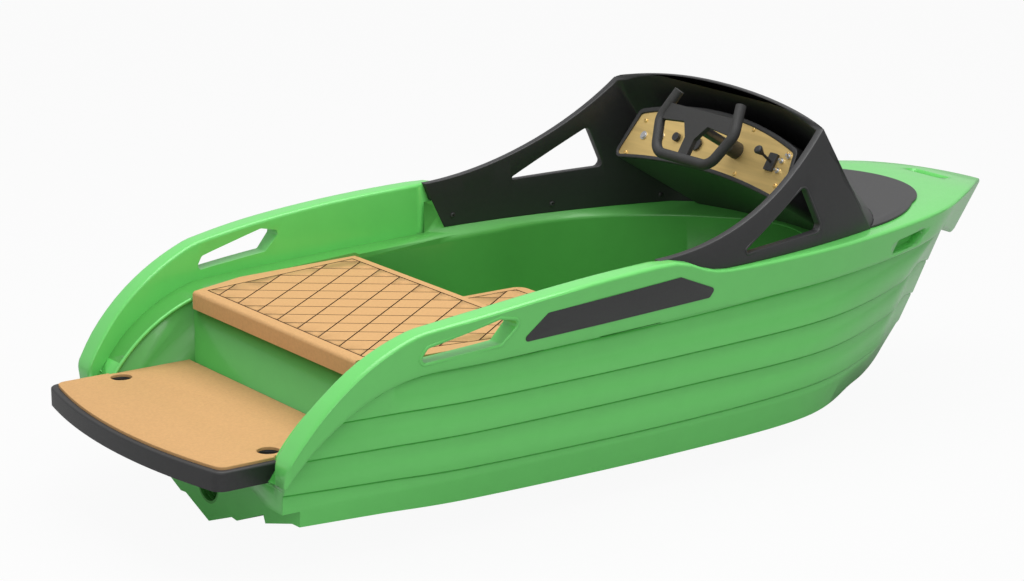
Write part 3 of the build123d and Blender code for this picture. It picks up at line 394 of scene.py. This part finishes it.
def hull_section(row):
    """Half section of the planked side, keel to a little over the rail's foot."""
    keel_z, out = row[2], row[3]
    top, foot, lap1, lap2, lap3, chine = zip(row[4::2], row[5::2])
    rise = chine[1] - keel_z
    outline = [(0.0, keel_z)] + [(chine[0] * share_y, keel_z + rise * share_z) for share_y, share_z in BOTTOM]
    outline.append((chine[0], chine[1]))
    step = min(LAP, chine[0] * 0.3)
    groove = step * GROOVE_SHARE
    for half_y, z in (lap3, lap2, lap1, foot):
        outline.append((half_y - step, z - LAP_DROP - GROOVE_DROP))
        outline.append((half_y - step - groove, z - LAP_DROP - GROOVE_DROP / 2))
        outline.append((half_y - step - groove, z - LAP_DROP))
        outline.append((half_y - 1.0, z - 1.0))
        outline.append((half_y, z + 1.0))
    flare = (top[0] - foot[0]) / (top[1] - foot[1])
    outline.append((top[0] + flare * (OVER_Z - top[1]), OVER_Z))
    outline = [(y + out if y else y, z) for y, z in outline]
    cut = meets(row, RAIL_FOOT) + TUCK
    kept = []
    for index, (y, z) in enumerate(outline):
        if z > cut:
            y0, z0 = outline[index - 1] if index else (y, z)
            if z0 < cut:
                y, z = y0 + (y - y0) * (cut - z0) / (z - z0), cut
            else:
                y, z = kept[-1]
        kept.append((y, z))
    round_off = max(row[0] - FOREFOOT_X, 0.0) / (STATIONS[-1][0] - FOREFOOT_X)
    places = []
    for y, z in kept:
        near_keel = max(1.0 - (z - keel_z) / FOREFOOT_RISE, 0.0)
        places.append(Vector((station_x(row, z) - FOREFOOT_BACK * (round_off * near_keel) ** 2, -y, z)) * MM)
    return places


def rail_breadth(row, z):
    """Half breadth of the rail's plain outer face at a height."""
    sides = [(height, half) for half, height in zip(row[4::2], row[5::2])][:5]
    top, foot = sides[0], sides[1]
    if z > foot[0]:
        return foot[1] + (top[1] - foot[1]) * (z - foot[0]) / (top[0] - foot[0]) + row[3]
    return along(sorted(sides), z) + row[3]


def rail_section(row, inset):
    """Closed half section of the rail: foot, outer face, rounded top, inner face."""
    z_foot = meets(row, RAIL_FOOT) + inset
    z_top = meets(row, UPPER_EDGE) - inset
    x_top = station_x(row, z_top)
    outer_foot = rail_breadth(row, z_foot) - inset
    outer_top = rail_breadth(row, z_top) - inset
    if x_top < COWL_BASE[0][0]:
        inner = along(OPENING, x_top) + inset
        inner_r = EDGE_R * 0.8
        low = max(along(LEDGE, x_top) - 4, z_foot)
    else:
        inner = max(along(COWL_FOOT, x_top) - 6, 0.0) if x_top < COWL_BASE[3][0] else 0.0
        inner_r = 0.0
        low = z_foot
    inner = max(min(inner, outer_top - 1.0), 0.0)
    edge_r = min(EDGE_R, (outer_top - inner) * 0.4)
    inner_r = min(inner_r, (outer_top - inner) * 0.4)
    foot_in = max(min(inner, outer_foot - 1.0), 0.0)
    if x_top < WING_AFT_X + 2:
        foot_in = SHELF_Y
    small = 0.3 * FOOT_R
    points = [(max(outer_foot - FOOT_R, foot_in), z_foot), (max(outer_foot - small, foot_in), z_foot + small)]
    rises, quarter, span = 6, 4, 4
    for step in range(rises + 1):
        z = z_foot + FOOT_R + (z_top - edge_r - z_foot - FOOT_R) * step / rises
        points.append((rail_breadth(row, z) - inset, z))
    for step in range(1, quarter + 1):
        turn = math.radians(90 * step / quarter)
        points.append((outer_top - edge_r + edge_r * math.cos(turn), z_top - edge_r + edge_r * math.sin(turn)))
    for step in range(1, span):
        y = outer_top - edge_r + (inner + inner_r - outer_top + edge_r) * step / span
        points.append((y, z_top))
    for step in range(quarter + 1):
        turn = math.radians(90 + 90 * step / quarter)
        points.append((inner + inner_r + inner_r * math.cos(turn), z_top - inner_r + inner_r * math.sin(turn)))
    points.append((inner, low))
    shelf = SHELF_Y if x_top < WING_AFT_X + 2 else inner
    low = max(low, z_foot + 2)
    points += [(shelf, max(low - 2, z_foot)), (shelf, z_foot)]
    return [Vector((station_x(row, z), -y, z)) * MM for y, z in points]


def lofted(sections, closed):
    """Starboard shell through sections and its mirror image to port."""
    shell = bmesh.new()
    for side in (1.0, -1.0):
        rings = []
        for section in sections:
            rings.append([shell.verts.new((p.x, side * p.y, p.z)) for p in section])
        width = len(rings[0])
        for near, far in zip(rings, rings[1:]):
            for j in range(width if closed else width - 1):
                k = (j + 1) % width
                face = [near[j], far[j], far[k], near[k]]
                shell.faces.new(face if side > 0 else face[::-1])
        if closed:
            shell.faces.new(rings[0] if side > 0 else rings[0][::-1])
            shell.faces.new(rings[-1][::-1] if side > 0 else rings[-1])
    bmesh.ops.remove_doubles(shell, verts=shell.verts, dist=2e-5)
    bmesh.ops.dissolve_degenerate(shell, edges=shell.edges, dist=1e-6)
    return shell


def clear_faces(shell, unwanted):
    """Takes away the faces that a test picks."""
    doomed = [face for face in shell.faces if unwanted(face)]
    bmesh.ops.delete(shell, geom=doomed, context="FACES")


def slice_at(shell, place, normal):
    """Splits the faces that a plane crosses."""
    bmesh.ops.bisect_plane(shell, geom=shell.verts[:] + shell.edges[:] + shell.faces[:],
                           plane_co=place, plane_no=normal, dist=1e-6)


def hull_skin():
    """Faired planked side and bottom, open where the transom and the intake are."""
    shell = lofted([hull_section(row) for row in fair_rows([0] * len(STATIONS), 0.0)], False)
    for place, normal in (
        ((WING_AFT_X * MM, 0, 0), (1, 0, 0)), ((0, 0, 0), (1, 0, 0)), ((0, 0, STEP_Z * MM), (0, 0, 1)),
        ((INTAKE[0] * MM, 0, 0), (1, 0, 0)), ((INTAKE[1] * MM, 0, 0), (1, 0, 0)),
        ((0, INTAKE[2] * MM, 0), (0, 1, 0)), ((0, -INTAKE[2] * MM, 0), (0, 1, 0)),
    ):
        slice_at(shell, place, normal)

    def outside(face):
        x, y, z = face.calc_center_median() / MM
        if x < WING_AFT_X or (x < 0 and z < STEP_Z):
            return True
        return INTAKE[0] < x < INTAKE[1] and abs(y) < INTAKE[2] and z < 0

    clear_faces(shell, outside)
    return shell


def joined(shell, other):
    """Adds one shell to another."""
    carrier = bpy.data.meshes.new("carrier")
    other.to_mesh(carrier)
    other.free()
    shell.from_mesh(carrier)
    bpy.data.meshes.remove(carrier)
    return shell


def rounded_outline(points, radius, count=5):
    """Outline with its corners rounded."""
    outline = []
    size = len(points)
    for index in range(size):
        before, corner, after = (Vector(points[(index + k) % size]) for k in (-1, 0, 1))
        u, v = (before - corner).normalized(), (after - corner).normalized()
        half = u.angle(v) / 2
        bend = radius[index] if isinstance(radius, tuple) else radius
        reach = bend / math.tan(half)
        start, end = corner + u * reach, corner + v * reach
        middle = corner + (u + v).normalized() * bend / math.sin(half)
        for step in range(count + 1):
            way = start.lerp(end, step / count) - middle
            outline.append(middle + way.normalized() * bend)
    return outline


def prism_shell(outline, place):
    """Closed prism from an outline, its two ends given by a function of point and end."""
    shell = bmesh.new()
    ends = [[shell.verts.new(place(point, end)) for point in outline] for end in (0, 1)]
    size = len(outline)
    shell.faces.new(ends[0][::-1])
    shell.faces.new(ends[1])
    for j in range(size):
        k = (j + 1) % size
        shell.faces.new([ends[0][j], ends[0][k], ends[1][k], ends[1][j]])
    bmesh.ops.recalc_face_normals(shell, faces=shell.faces)
    return shell


def cut_out(shell, cutter):
    """Takes a cutter out of a closed shell."""
    base = shell_object("base", shell)
    tool = shell_object("cutter", cutter)
    cut = base.modifiers.new("cut", "BOOLEAN")
    cut.operation = "DIFFERENCE"
    cut.solver = "EXACT"
    cut.object = tool
    result = evaluated_mesh(base)
    after = bmesh.new()
    after.from_mesh(result)
    for obj in (base, tool):
        old = obj.data
        bpy.data.objects.remove(obj)
        bpy.data.meshes.remove(old)
    bpy.data.meshes.remove(result)
    return after


def evaluated_mesh(obj):
    """Plain mesh of an object with its modifiers applied."""
    return bpy.data.meshes.new_from_object(obj.evaluated_get(bpy.context.evaluated_depsgraph_get()))


def shell_object(name, shell):
    """Scratch object from a shell, without a material."""
    mesh = bpy.data.meshes.new(name)
    shell.to_mesh(mesh)
    shell.free()
    obj = bpy.data.objects.new(name, mesh)
    bpy.context.scene.collection.objects.link(obj)
    return obj


def bow_handle_place(side):
    """Function that puts a pocket outline on the bow's flank."""
    turn, rise = (math.radians(a) for a in BOW_HANDLE_TURN)
    run = Vector((math.cos(turn) * math.cos(rise), -side * math.sin(turn) * math.cos(rise), math.sin(rise)))
    out = Vector((math.sin(turn), side * math.cos(turn), 0))
    up = out.cross(run) * (-1 if side > 0 else 1)
    if up.z < 0:
        up = -up
    origin = Vector((BOW_HANDLE[0], side * BOW_HANDLE[1], BOW_HANDLE[2]))
    return lambda point, end: (origin + run * point[0] + up * point[1] + out * BOW_HANDLE_DEPTHS[end]) * MM


def rounded_off(row, steps):
    """Sections of the rail at one of its ends."""
    sections = []
    for back, inset in steps:
        moved = [row[0] + back, row[1] + back, *row[2:]]
        sections.append(rail_section(moved, inset))
    return sections


def rail_solid():
    """Rails, arms and foredeck with their handle slots, grip pockets and bow recess."""
    rows = fair_rows(RAIL_PROUD, RAIL_REACH)
    sections = rounded_off(rows[0], STERN_ROUND)
    sections += [rail_section(row, 0.0) for row in rows[1:-1]]
    sections += rounded_off(rows[-1], [(-back, inset) for back, inset in BOW_ROUND])
    shell = lofted(sections, True)
    slot = rounded_outline(HANDLE, HANDLE_R)
    through = (-900.0, 900.0)
    shell = cut_out(shell, prism_shell(slot, lambda p, end: Vector((p[0], through[end], p[1])) * MM))
    for side in (-1, 1):
        pocket = rounded_outline(BOW_HANDLE_OUTLINE, BOW_HANDLE_R)
        shell = cut_out(shell, prism_shell(pocket, bow_handle_place(side)))
    middle_x, end_r, length, floor_z = BOW_RECESS
    half = length / 2 - end_r
    recess = []
    for step in range(24):
        turn = math.radians(15 * step)
        recess.append((end_r * math.cos(turn), end_r * math.sin(turn) + (half if step < 12 else -half)))
    depth = (floor_z, 500.0)
    return cut_out(shell, prism_shell(recess, lambda p, end: Vector((middle_x + p[0], p[1], depth[end])) * MM))


# How near and how alike in direction a packed face lies to the faired skin that takes its place
SEARCH, SKIN_NEAR, SKIN_ALIKE = 0.02, 0.008, 0.9
# Packed hull faces past this length, or past the second one and under this height, are cleared as well.
# Beside the outer skin those are the hull's top under the foredeck, the stem's narrow front, which
# nothing closes again, and the floor and sides of the motor's well under the seat
OUTER_X, BOTTOM_X, BOTTOM_Z = 2.10, 0.60, 0.05
# Ahead of and above this, the imported hull's faces take the darker green, painted shade for the cockpit's inside
INNER_FROM = 0.02
# Margins in millimetres on the opening, the top and the cowl's foot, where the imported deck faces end
OPENING_SLACK, TOP_SLACK, FOOT_SLACK = 0.8, 1.5, 1.0


def on_side_net(shell):
    """Test for faces that lie on the moulded side."""
    net = BVHTree.FromBMesh(shell)

    def test(face):
        spot, normal, _, distance = net.find_nearest(face.calc_center_median(), SEARCH)
        return spot is not None and distance < SKIN_NEAR and abs(normal.dot(face.normal)) > SKIN_ALIKE

    return test


def hull_shell():
    """Faired side and bottom, with the transom, intake and cockpit as packed."""
    skin = hull_skin()
    shell = merged_node("hull")
    near = on_side_net(skin)

    def outer(face):
        x, y, z = face.calc_center_median()
        return near(face) or x > OUTER_X or (x > BOTTOM_X and z < BOTTOM_Z)

    clear_faces(shell, outer)
    # Faces inside the cockpit take the darker green of painted shade
    for face in shell.faces:
        x, y, z = face.calc_center_median()
        if z > INNER_FROM and x > INNER_FROM:
            face.material_index = 1
    return joined(shell, skin)


def deck_shell():
    """Ledges and walls as packed, inboard of the faired rails."""
    shell = merged_node("deck_moulding", join=False)
    slice_at(shell, (COWL_BASE[0][0] * MM, 0, 0), (1, 0, 0))

    def outboard(face):
        x, y, _ = face.calc_center_median() / MM
        if x < COWL_BASE[0][0]:
            return abs(y) > along(OPENING, x) - OPENING_SLACK
        if x > COWL_BASE[3][0] or min(vert.co.z for vert in face.verts) / MM > TOP_Z - TOP_SLACK:
            return True
        return any(abs(v.co.y) / MM > along(COWL_FOOT, v.co.x / MM) + FOOT_SLACK for v in face.verts)

    clear_faces(shell, outboard)
    # The kept ledges and walls take the darker green of painted shade
    for face in shell.faces:
        face.material_index = 1
    return joined(shell, rail_solid())


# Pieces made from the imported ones
def merged_node(name, join=True):
    """Node's mesh with its loose triangles merged, and joined into plain faces."""
    shell = bmesh.new()
    shell.from_mesh(nodes[name].data)
    bmesh.ops.remove_doubles(shell, verts=shell.verts, dist=1e-5)
    if join:
        bmesh.ops.dissolve_limit(shell, angle_limit=math.radians(0.6), verts=shell.verts, edges=shell.edges)
    return shell


SHARP_TURN = 38.0


def edge_turn(edge):
    """Angle between an edge's two faces in degrees."""
    return math.degrees(edge.calc_face_angle(0.0))


def upper_edge(edge):
    """Convex edge along a face that looks up."""
    if edge_turn(edge) < SHARP_TURN or not edge.is_convex:
        return False
    heights = [face.normal.z for face in edge.link_faces]
    return max(heights) > 0.6 and min(heights) > -0.5


def round_edges(shell, chosen, radius, segments=3):
    """Rounds the chosen edges of a shell."""
    edges = [edge for edge in shell.edges if len(edge.link_faces) == 2 and chosen(edge)]
    bmesh.ops.bevel(shell, geom=edges, offset=radius, offset_type="OFFSET", segments=segments, profile=0.5,
                    affect="EDGES", clamp_overlap=False)


def shell_piece(name, shell, finish, smooth=30):
    """Object from a shell, shaded smooth up to an angle."""
    mesh = bpy.data.meshes.new(name)
    shell.to_mesh(mesh)
    shell.free()
    mesh.materials.append(finish)
    mesh.shade_smooth()
    mesh.set_sharp_from_angle(angle=math.radians(smooth))
    obj = bpy.data.objects.new(name, mesh)
    bpy.context.scene.collection.objects.link(obj)
    return obj


def stand_for(piece, node, body):
    """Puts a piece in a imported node's place."""
    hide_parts(node)
    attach(piece, body)


def moulding(node, finish, radius=0.0, chosen=upper_edge, segments=3, smooth=30, body="root", shell=None):
    """Moulding with its edges rounded, in the node's place: the node's own shell, or the one given."""
    shell = shell or merged_node(node)
    if radius:
        round_edges(shell, chosen, radius, segments)
    piece = shell_piece(node + "_skin", shell, finish, smooth)
    stand_for(piece, node, body)
    return piece


def crisp_edge(edge):
    """Any convex edge that is clearly an edge."""
    return edge_turn(edge) > SHARP_TURN and edge.is_convex


def tube(name, points, radius, finish, cyclic=False, ends=True):
    """Round bead or bar along points in metres, as a plain mesh."""
    curve = bpy.data.curves.new(name, "CURVE")
    curve.dimensions = "3D"
    curve.bevel_depth = radius
    curve.bevel_resolution = 4
    curve.use_fill_caps = ends
    line = curve.splines.new("POLY")
    line.points.add(len(points) - 1)
    for knot, point in zip(line.points, points):
        knot.co = (*point, 1.0)
    line.use_cyclic_u = cyclic
    holder = bpy.data.objects.new(name, curve)
    bpy.context.scene.collection.objects.link(holder)
    mesh = evaluated_mesh(holder)
    bpy.data.objects.remove(holder)
    bpy.data.curves.remove(curve)
    shell = bmesh.new()
    shell.from_mesh(mesh)
    bpy.data.meshes.remove(mesh)
    bmesh.ops.remove_doubles(shell, verts=shell.verts, dist=1e-6)
    bmesh.ops.recalc_face_normals(shell, faces=shell.faces)
    return shell_piece(name, shell, finish, 40)


def carried(piece, body="root"):
    """Lets a piece of the scene alone ride on a body."""
    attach(piece, body)


def side_label(name, side):
    """Name of a piece on one side of the boat."""
    return name + ("_port" if side > 0 else "_starboard")


def surface_net(piece):
    """Search tree of a finished piece's faces."""
    mesh = piece.data
    return BVHTree.FromPolygons([v.co for v in mesh.vertices], [p.vertices[:] for p in mesh.polygons])


deck = moulding("deck_moulding", gelcoat, shell=deck_shell())
hull = moulding("hull", gelcoat, shell=hull_shell())
# The deck's and hull's second finish is the darker green of painted shade
deck.data.materials.append(gelcoat_painted_shade)
hull.data.materials.append(gelcoat_painted_shade)
moulding("platform", moulded_black, 0.005)
# The hump takes the darker green of painted shade
moulding("hump", gelcoat_painted_shade, 0.010)
patch_shell = merged_node("deck_patch")
for vert in patch_shell.verts:
    vert.co.z += PATCH_LIFT
moulding("deck_patch", cowl_black, 0.002, shell=patch_shell)
cowl = moulding("cowl", cowl_black, 0.0035, chosen=crisp_edge, smooth=40)
moulding("dash_rim", moulded_black, 0.003, chosen=crisp_edge)
for plate in ("side_plate_port", "side_plate_starboard"):
    moulding(plate, plate_black, 0.0015, chosen=crisp_edge)

# Rounded edges of the inner ledges
BEAD_Y, BEAD_R, BEAD_DROP = 0.432, 0.005, 3.5
BEAD_XS = range(-50, 206, 6)
for side in (-1, 1):
    edge = [(x * MM, side * BEAD_Y, (along(LEDGE, x) - BEAD_DROP) * MM) for x in BEAD_XS]
    carried(tube(side_label("ledge_bead", side), edge, BEAD_R, gelcoat))

# Borders of the cowl's windows and lips of the handle slots, laid on the faces they frame
OUTSIDE_Y, INNERMOST_Y, SINK = 1.5, 0.35, 0.4


def grown(points, amount):
    """Outline moved outward by an amount."""
    middle = sum((Vector(p) for p in points), Vector((0, 0))) / len(points)
    moved = []
    for index, point in enumerate(points):
        before, after = Vector(points[index - 1]), Vector(points[(index + 1) % len(points)])
        corner = Vector(point)
        u, v = (corner - before).normalized(), (corner - after).normalized()
        half = u.angle(v) / 2
        way = (u + v).normalized()
        if way.dot(corner - middle) < 0:
            way = -way
        moved.append(corner + way * amount / math.sin(half))
    return moved


def framed(name, outline, skin, radius, finish):
    """Bead round an opening on both sides of the boat, found by looking at the skin from outside."""
    net = surface_net(skin)
    for side in (-1, 1):
        found = []
        for x, z in outline:
            spot, normal, _, _ = net.ray_cast(Vector((x * MM, side * OUTSIDE_Y, z * MM)), Vector((0, -side, 0)))
            if spot is not None and abs(spot.y) > INNERMOST_Y:
                found.append(spot - normal * radius * SINK)
        carried(tube(side_label(name, side), found, radius, finish, cyclic=True, ends=False))


border = rounded_outline(grown(WINDOW, 4.5), WINDOW_BORDER_R)
framed("window_border", border, cowl, 0.0035, cowl_black)
framed("slot_lip", rounded_outline(grown(HANDLE, 5.0), 16.0), deck, 0.005, gelcoat)


# Screws: profile of the head and its recess as shares of radius and height, and where the screws sit
HEAD_PROFILE = ((1.0, -0.3), (1.0, 0.45), (0.9, 0.8), (0.7, 1.0), (0.42, 1.0), (0.42, 0.3))
HEAD_SIDES = 18
DASH_LEAN = math.radians(31)
DASH_ORIGIN = (1.640, 0.600)
DASH_UP = Vector((math.sin(DASH_LEAN), 0, math.cos(DASH_LEAN)))
DASH_OUT = Vector((-DASH_UP.z, 0, DASH_UP.x))
# On the dash: distance to starboard and up the lean
PANEL_SCREWS = ((-0.315, 0.087), (-0.340, -0.022), (0.149, 0.004), (0.146, 0.142), (0.322, 0.100),
                (0.327, 0.003), (-0.10, 0.147))
# On the cowl's inner wall: length and height
WALL_SCREWS = ((1.146, 0.417), (1.487, 0.410), (1.840, 0.406))


def screw_head(radius, height):
    """Round head with a round recess, looking along +Z."""
    shell = bmesh.new()
    rings = []
    for reach, level in HEAD_PROFILE:
        turns = [math.tau * k / HEAD_SIDES for k in range(HEAD_SIDES)]
        rings.append([shell.verts.new((radius * reach * math.cos(turn), radius * reach * math.sin(turn),
                                       height * level)) for turn in turns])
    for low, high in zip(rings, rings[1:]):
        for k in range(HEAD_SIDES):
            m = (k + 1) % HEAD_SIDES
            shell.faces.new([low[k], low[m], high[m], high[k]])
    shell.faces.new(rings[0][::-1])
    shell.faces.new(rings[-1])
    bmesh.ops.recalc_face_normals(shell, faces=shell.faces)
    return shell


def screws(name, spots, turn, radius, height, finish):
    """Screws at the given spots, turned to look out of their surface."""
    head = shell_object(name + "_head", screw_head(radius, height))
    tree = bpy.data.node_groups.new(name + "_tree", "GeometryNodeTree")
    tree.interface.new_socket("Geometry", in_out="INPUT", socket_type="NodeSocketGeometry")
    size = tree.interface.new_socket("Size", in_out="INPUT", socket_type="NodeSocketFloat")
    facing = tree.interface.new_socket("Turn", in_out="INPUT", socket_type="NodeSocketVector")
    tree.interface.new_socket("Geometry", in_out="OUTPUT", socket_type="NodeSocketGeometry")
    nodes, links = tree.nodes, tree.links
    entry, leave = nodes.new("NodeGroupInput"), nodes.new("NodeGroupOutput")
    sample = nodes.new("GeometryNodeObjectInfo")
    sample.inputs["Object"].default_value = head
    place = nodes.new("GeometryNodeInstanceOnPoints")
    real = nodes.new("GeometryNodeRealizeInstances")
    dress = nodes.new("GeometryNodeSetMaterial")
    dress.inputs["Material"].default_value = finish
    links.new(entry.outputs["Geometry"], place.inputs["Points"])
    links.new(sample.outputs["Geometry"], place.inputs["Instance"])
    links.new(entry.outputs["Turn"], place.inputs["Rotation"])
    links.new(entry.outputs["Size"], place.inputs["Scale"])
    links.new(place.outputs["Instances"], real.inputs["Geometry"])
    links.new(real.outputs["Geometry"], dress.inputs["Geometry"])
    links.new(dress.outputs["Geometry"], leave.inputs["Geometry"])
    cloud = bpy.data.meshes.new(name + "_spots")
    cloud.from_pydata([tuple(spot) for spot in spots], [], [])
    holder = bpy.data.objects.new(name + "_spots", cloud)
    bpy.context.scene.collection.objects.link(holder)
    repeat = holder.modifiers.new("repeat", "NODES")
    repeat.node_group = tree
    repeat[size.identifier] = 1.0
    repeat[facing.identifier] = turn
    shell = bmesh.new()
    shell.from_mesh(evaluated_mesh(holder))
    bpy.data.objects.remove(holder)
    bpy.data.objects.remove(head)
    carried(shell_piece(name, shell, finish, 35))


panel_net = BVHTree.FromBMesh(merged_node("dash_panel"))
panel_spots = []
for starboard, up in PANEL_SCREWS:
    eye = Vector((DASH_ORIGIN[0], -starboard, DASH_ORIGIN[1])) + DASH_UP * up + DASH_OUT * 0.1
    spot = panel_net.ray_cast(eye, -DASH_OUT)[0]
    if spot is not None:
        panel_spots.append(spot)
screws("dash_screws", panel_spots, (0, DASH_LEAN - math.pi / 2, 0), 0.0065, 0.0035, brass)
cowl_net = surface_net(cowl)
for side in (-1, 1):
    wall = [cowl_net.ray_cast(Vector((x, 0, z)), Vector((0, side, 0)))[0] for x, z in WALL_SCREWS]
    screws(side_label("cowl_screws", side), [spot for spot in wall if spot is not None],
           (math.radians(90 * side), 0, 0), 0.0085, 0.0045, moulded_black)

# Foam mats
GROOVE_W = 0.0042
GROOVE_DEPTH = 0.0032
GROOVE_PITCH = 0.081
GROOVE_TURNS = (-37.8, 37.8)
GROOVE_START = (0.745, 0.012)
GROOVE_COUNT = 24
SHORTEST_GROOVE = 0.01
SEAT_FIELD = [(0.236, -0.396), (0.745, -0.466), (0.745, 0.466), (0.236, 0.396)]
HUMP_FIELD = [(0.800, -0.160), (1.100, -0.160), (1.100, 0.160), (0.800, 0.160)]


def bar(start, end, top):
    """Groove cutter between two points on a mat."""
    shell = bmesh.new()
    a, b = Vector((*start, 0)), Vector((*end, 0))
    out = Vector((-(b - a).y, (b - a).x, 0)).normalized() * GROOVE_W / 2
    low, high = Vector((0, 0, top - GROOVE_DEPTH)), Vector((0, 0, top + 0.01))
    ring = [a + out, b + out, b - out, a - out]
    made = [shell.verts.new(p + low) for p in ring] + [shell.verts.new(p + high) for p in ring]
    for face in ((3, 2, 1, 0), (4, 5, 6, 7), (0, 1, 5, 4), (1, 2, 6, 5), (2, 3, 7, 6), (3, 0, 4, 7)):
        shell.faces.new([made[k] for k in face])
    bmesh.ops.recalc_face_normals(shell, faces=shell.faces)
    return shell


def clipped(point, way, field):
    """Ends of a line inside a convex field of (x, y) corners."""
    low, high = -9.0, 9.0
    size = len(field)
    for k in range(size):
        (ax, ay), (bx, by) = field[k], field[(k + 1) % size]
        nx, ny = -(by - ay), bx - ax
        reach = nx * way[0] + ny * way[1]
        off = nx * (point[0] - ax) + ny * (point[1] - ay)
        if abs(reach) < 1e-9:
            if off < 0:
                return None
            continue
        t = -off / reach
        if reach > 0:
            low = max(low, t)
        else:
            high = min(high, t)
    if high - low < SHORTEST_GROOVE:
        return None
    return [(point[0] + way[0] * t, point[1] + way[1] * t) for t in (low, high)]


def groove_runs(field):
    """Ends of a field's border grooves and of the two families that cross it."""
    runs = [(field[k], field[(k + 1) % len(field)]) for k in range(len(field))]
    for turn in GROOVE_TURNS:
        way = (math.cos(math.radians(turn)), math.sin(math.radians(turn)))
        across = (-way[1], way[0])
        for step in range(-GROOVE_COUNT, GROOVE_COUNT + 1):
            point = [GROOVE_START[k] + across[k] * GROOVE_PITCH * step for k in (0, 1)]
            ends = clipped(point, way, field)
            if ends:
                runs.append(ends)
    return runs


def grooved_mat(node, field):
    """Mat with dark grooves cut in it, in the node's place."""
    base = merged_node(node)
    top = max(vert.co.z for vert in base.verts)
    piece = shell_object(node + "_base", base)
    piece.data.materials.append(foam_tan)
    for number, (start, end) in enumerate(groove_runs(field)):
        tool = shell_object("groove", bar(start, end, top))
        tool.data.materials.append(groove_brown)
        cut = piece.modifiers.new("groove%d" % number, "BOOLEAN")
        cut.operation = "DIFFERENCE"
        cut.solver = "EXACT"
        cut.material_mode = "TRANSFER"
        cut.object = tool
    mesh = evaluated_mesh(piece)
    for obj in [piece] + [cut.object for cut in piece.modifiers]:
        bpy.data.objects.remove(obj)
    mesh.shade_smooth()
    mesh.set_sharp_from_angle(angle=math.radians(30))
    foam = bpy.data.objects.new(node + "_foam", mesh)
    bpy.context.scene.collection.objects.link(foam)
    stand_for(foam, node, "root")


grooved_mat("seat_mat", SEAT_FIELD)
grooved_mat("hump_pad", HUMP_FIELD)

platform_foam_shell = merged_node("platform_mat")
round_edges(platform_foam_shell, upper_edge, 0.002, 2)
platform_foam = shell_piece("platform_foam", platform_foam_shell, foam_tan, 30)
stand_for(platform_foam, "platform_mat", "root")

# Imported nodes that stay, with their finish
NODE_FINISH = {
    # The seat panel and the tunnel liner take the darker green of painted shade
    "seat_panel": gelcoat_painted_shade, "dash": cowl_black, "dash_panel": brass,
    "push_buttons": silver, "switches": silver, "selector_knob": moulded_black, "gauge": moulded_black,
    "throttle_base": moulded_black, "throttle_lever": moulded_black, "column_bearing": moulded_black,
    "steering_column": steel_dark, "steering_wheel": grip_rubber, "tunnel_liner": gelcoat_painted_shade,
    "stator": cast_metal, "steering_nozzle": cast_metal, "impeller": cast_metal, "drive_shaft": cast_metal,
    "intake_grate": steel_dark, "motor_block": painted_case, "battery_block": painted_case,
}
for node_name, finish in NODE_FINISH.items():
    mesh = nodes[node_name].data
    mesh.materials.clear()
    mesh.materials.append(finish)

camera_and_light()
bpy.context.scene.view_settings.view_transform = "Standard"
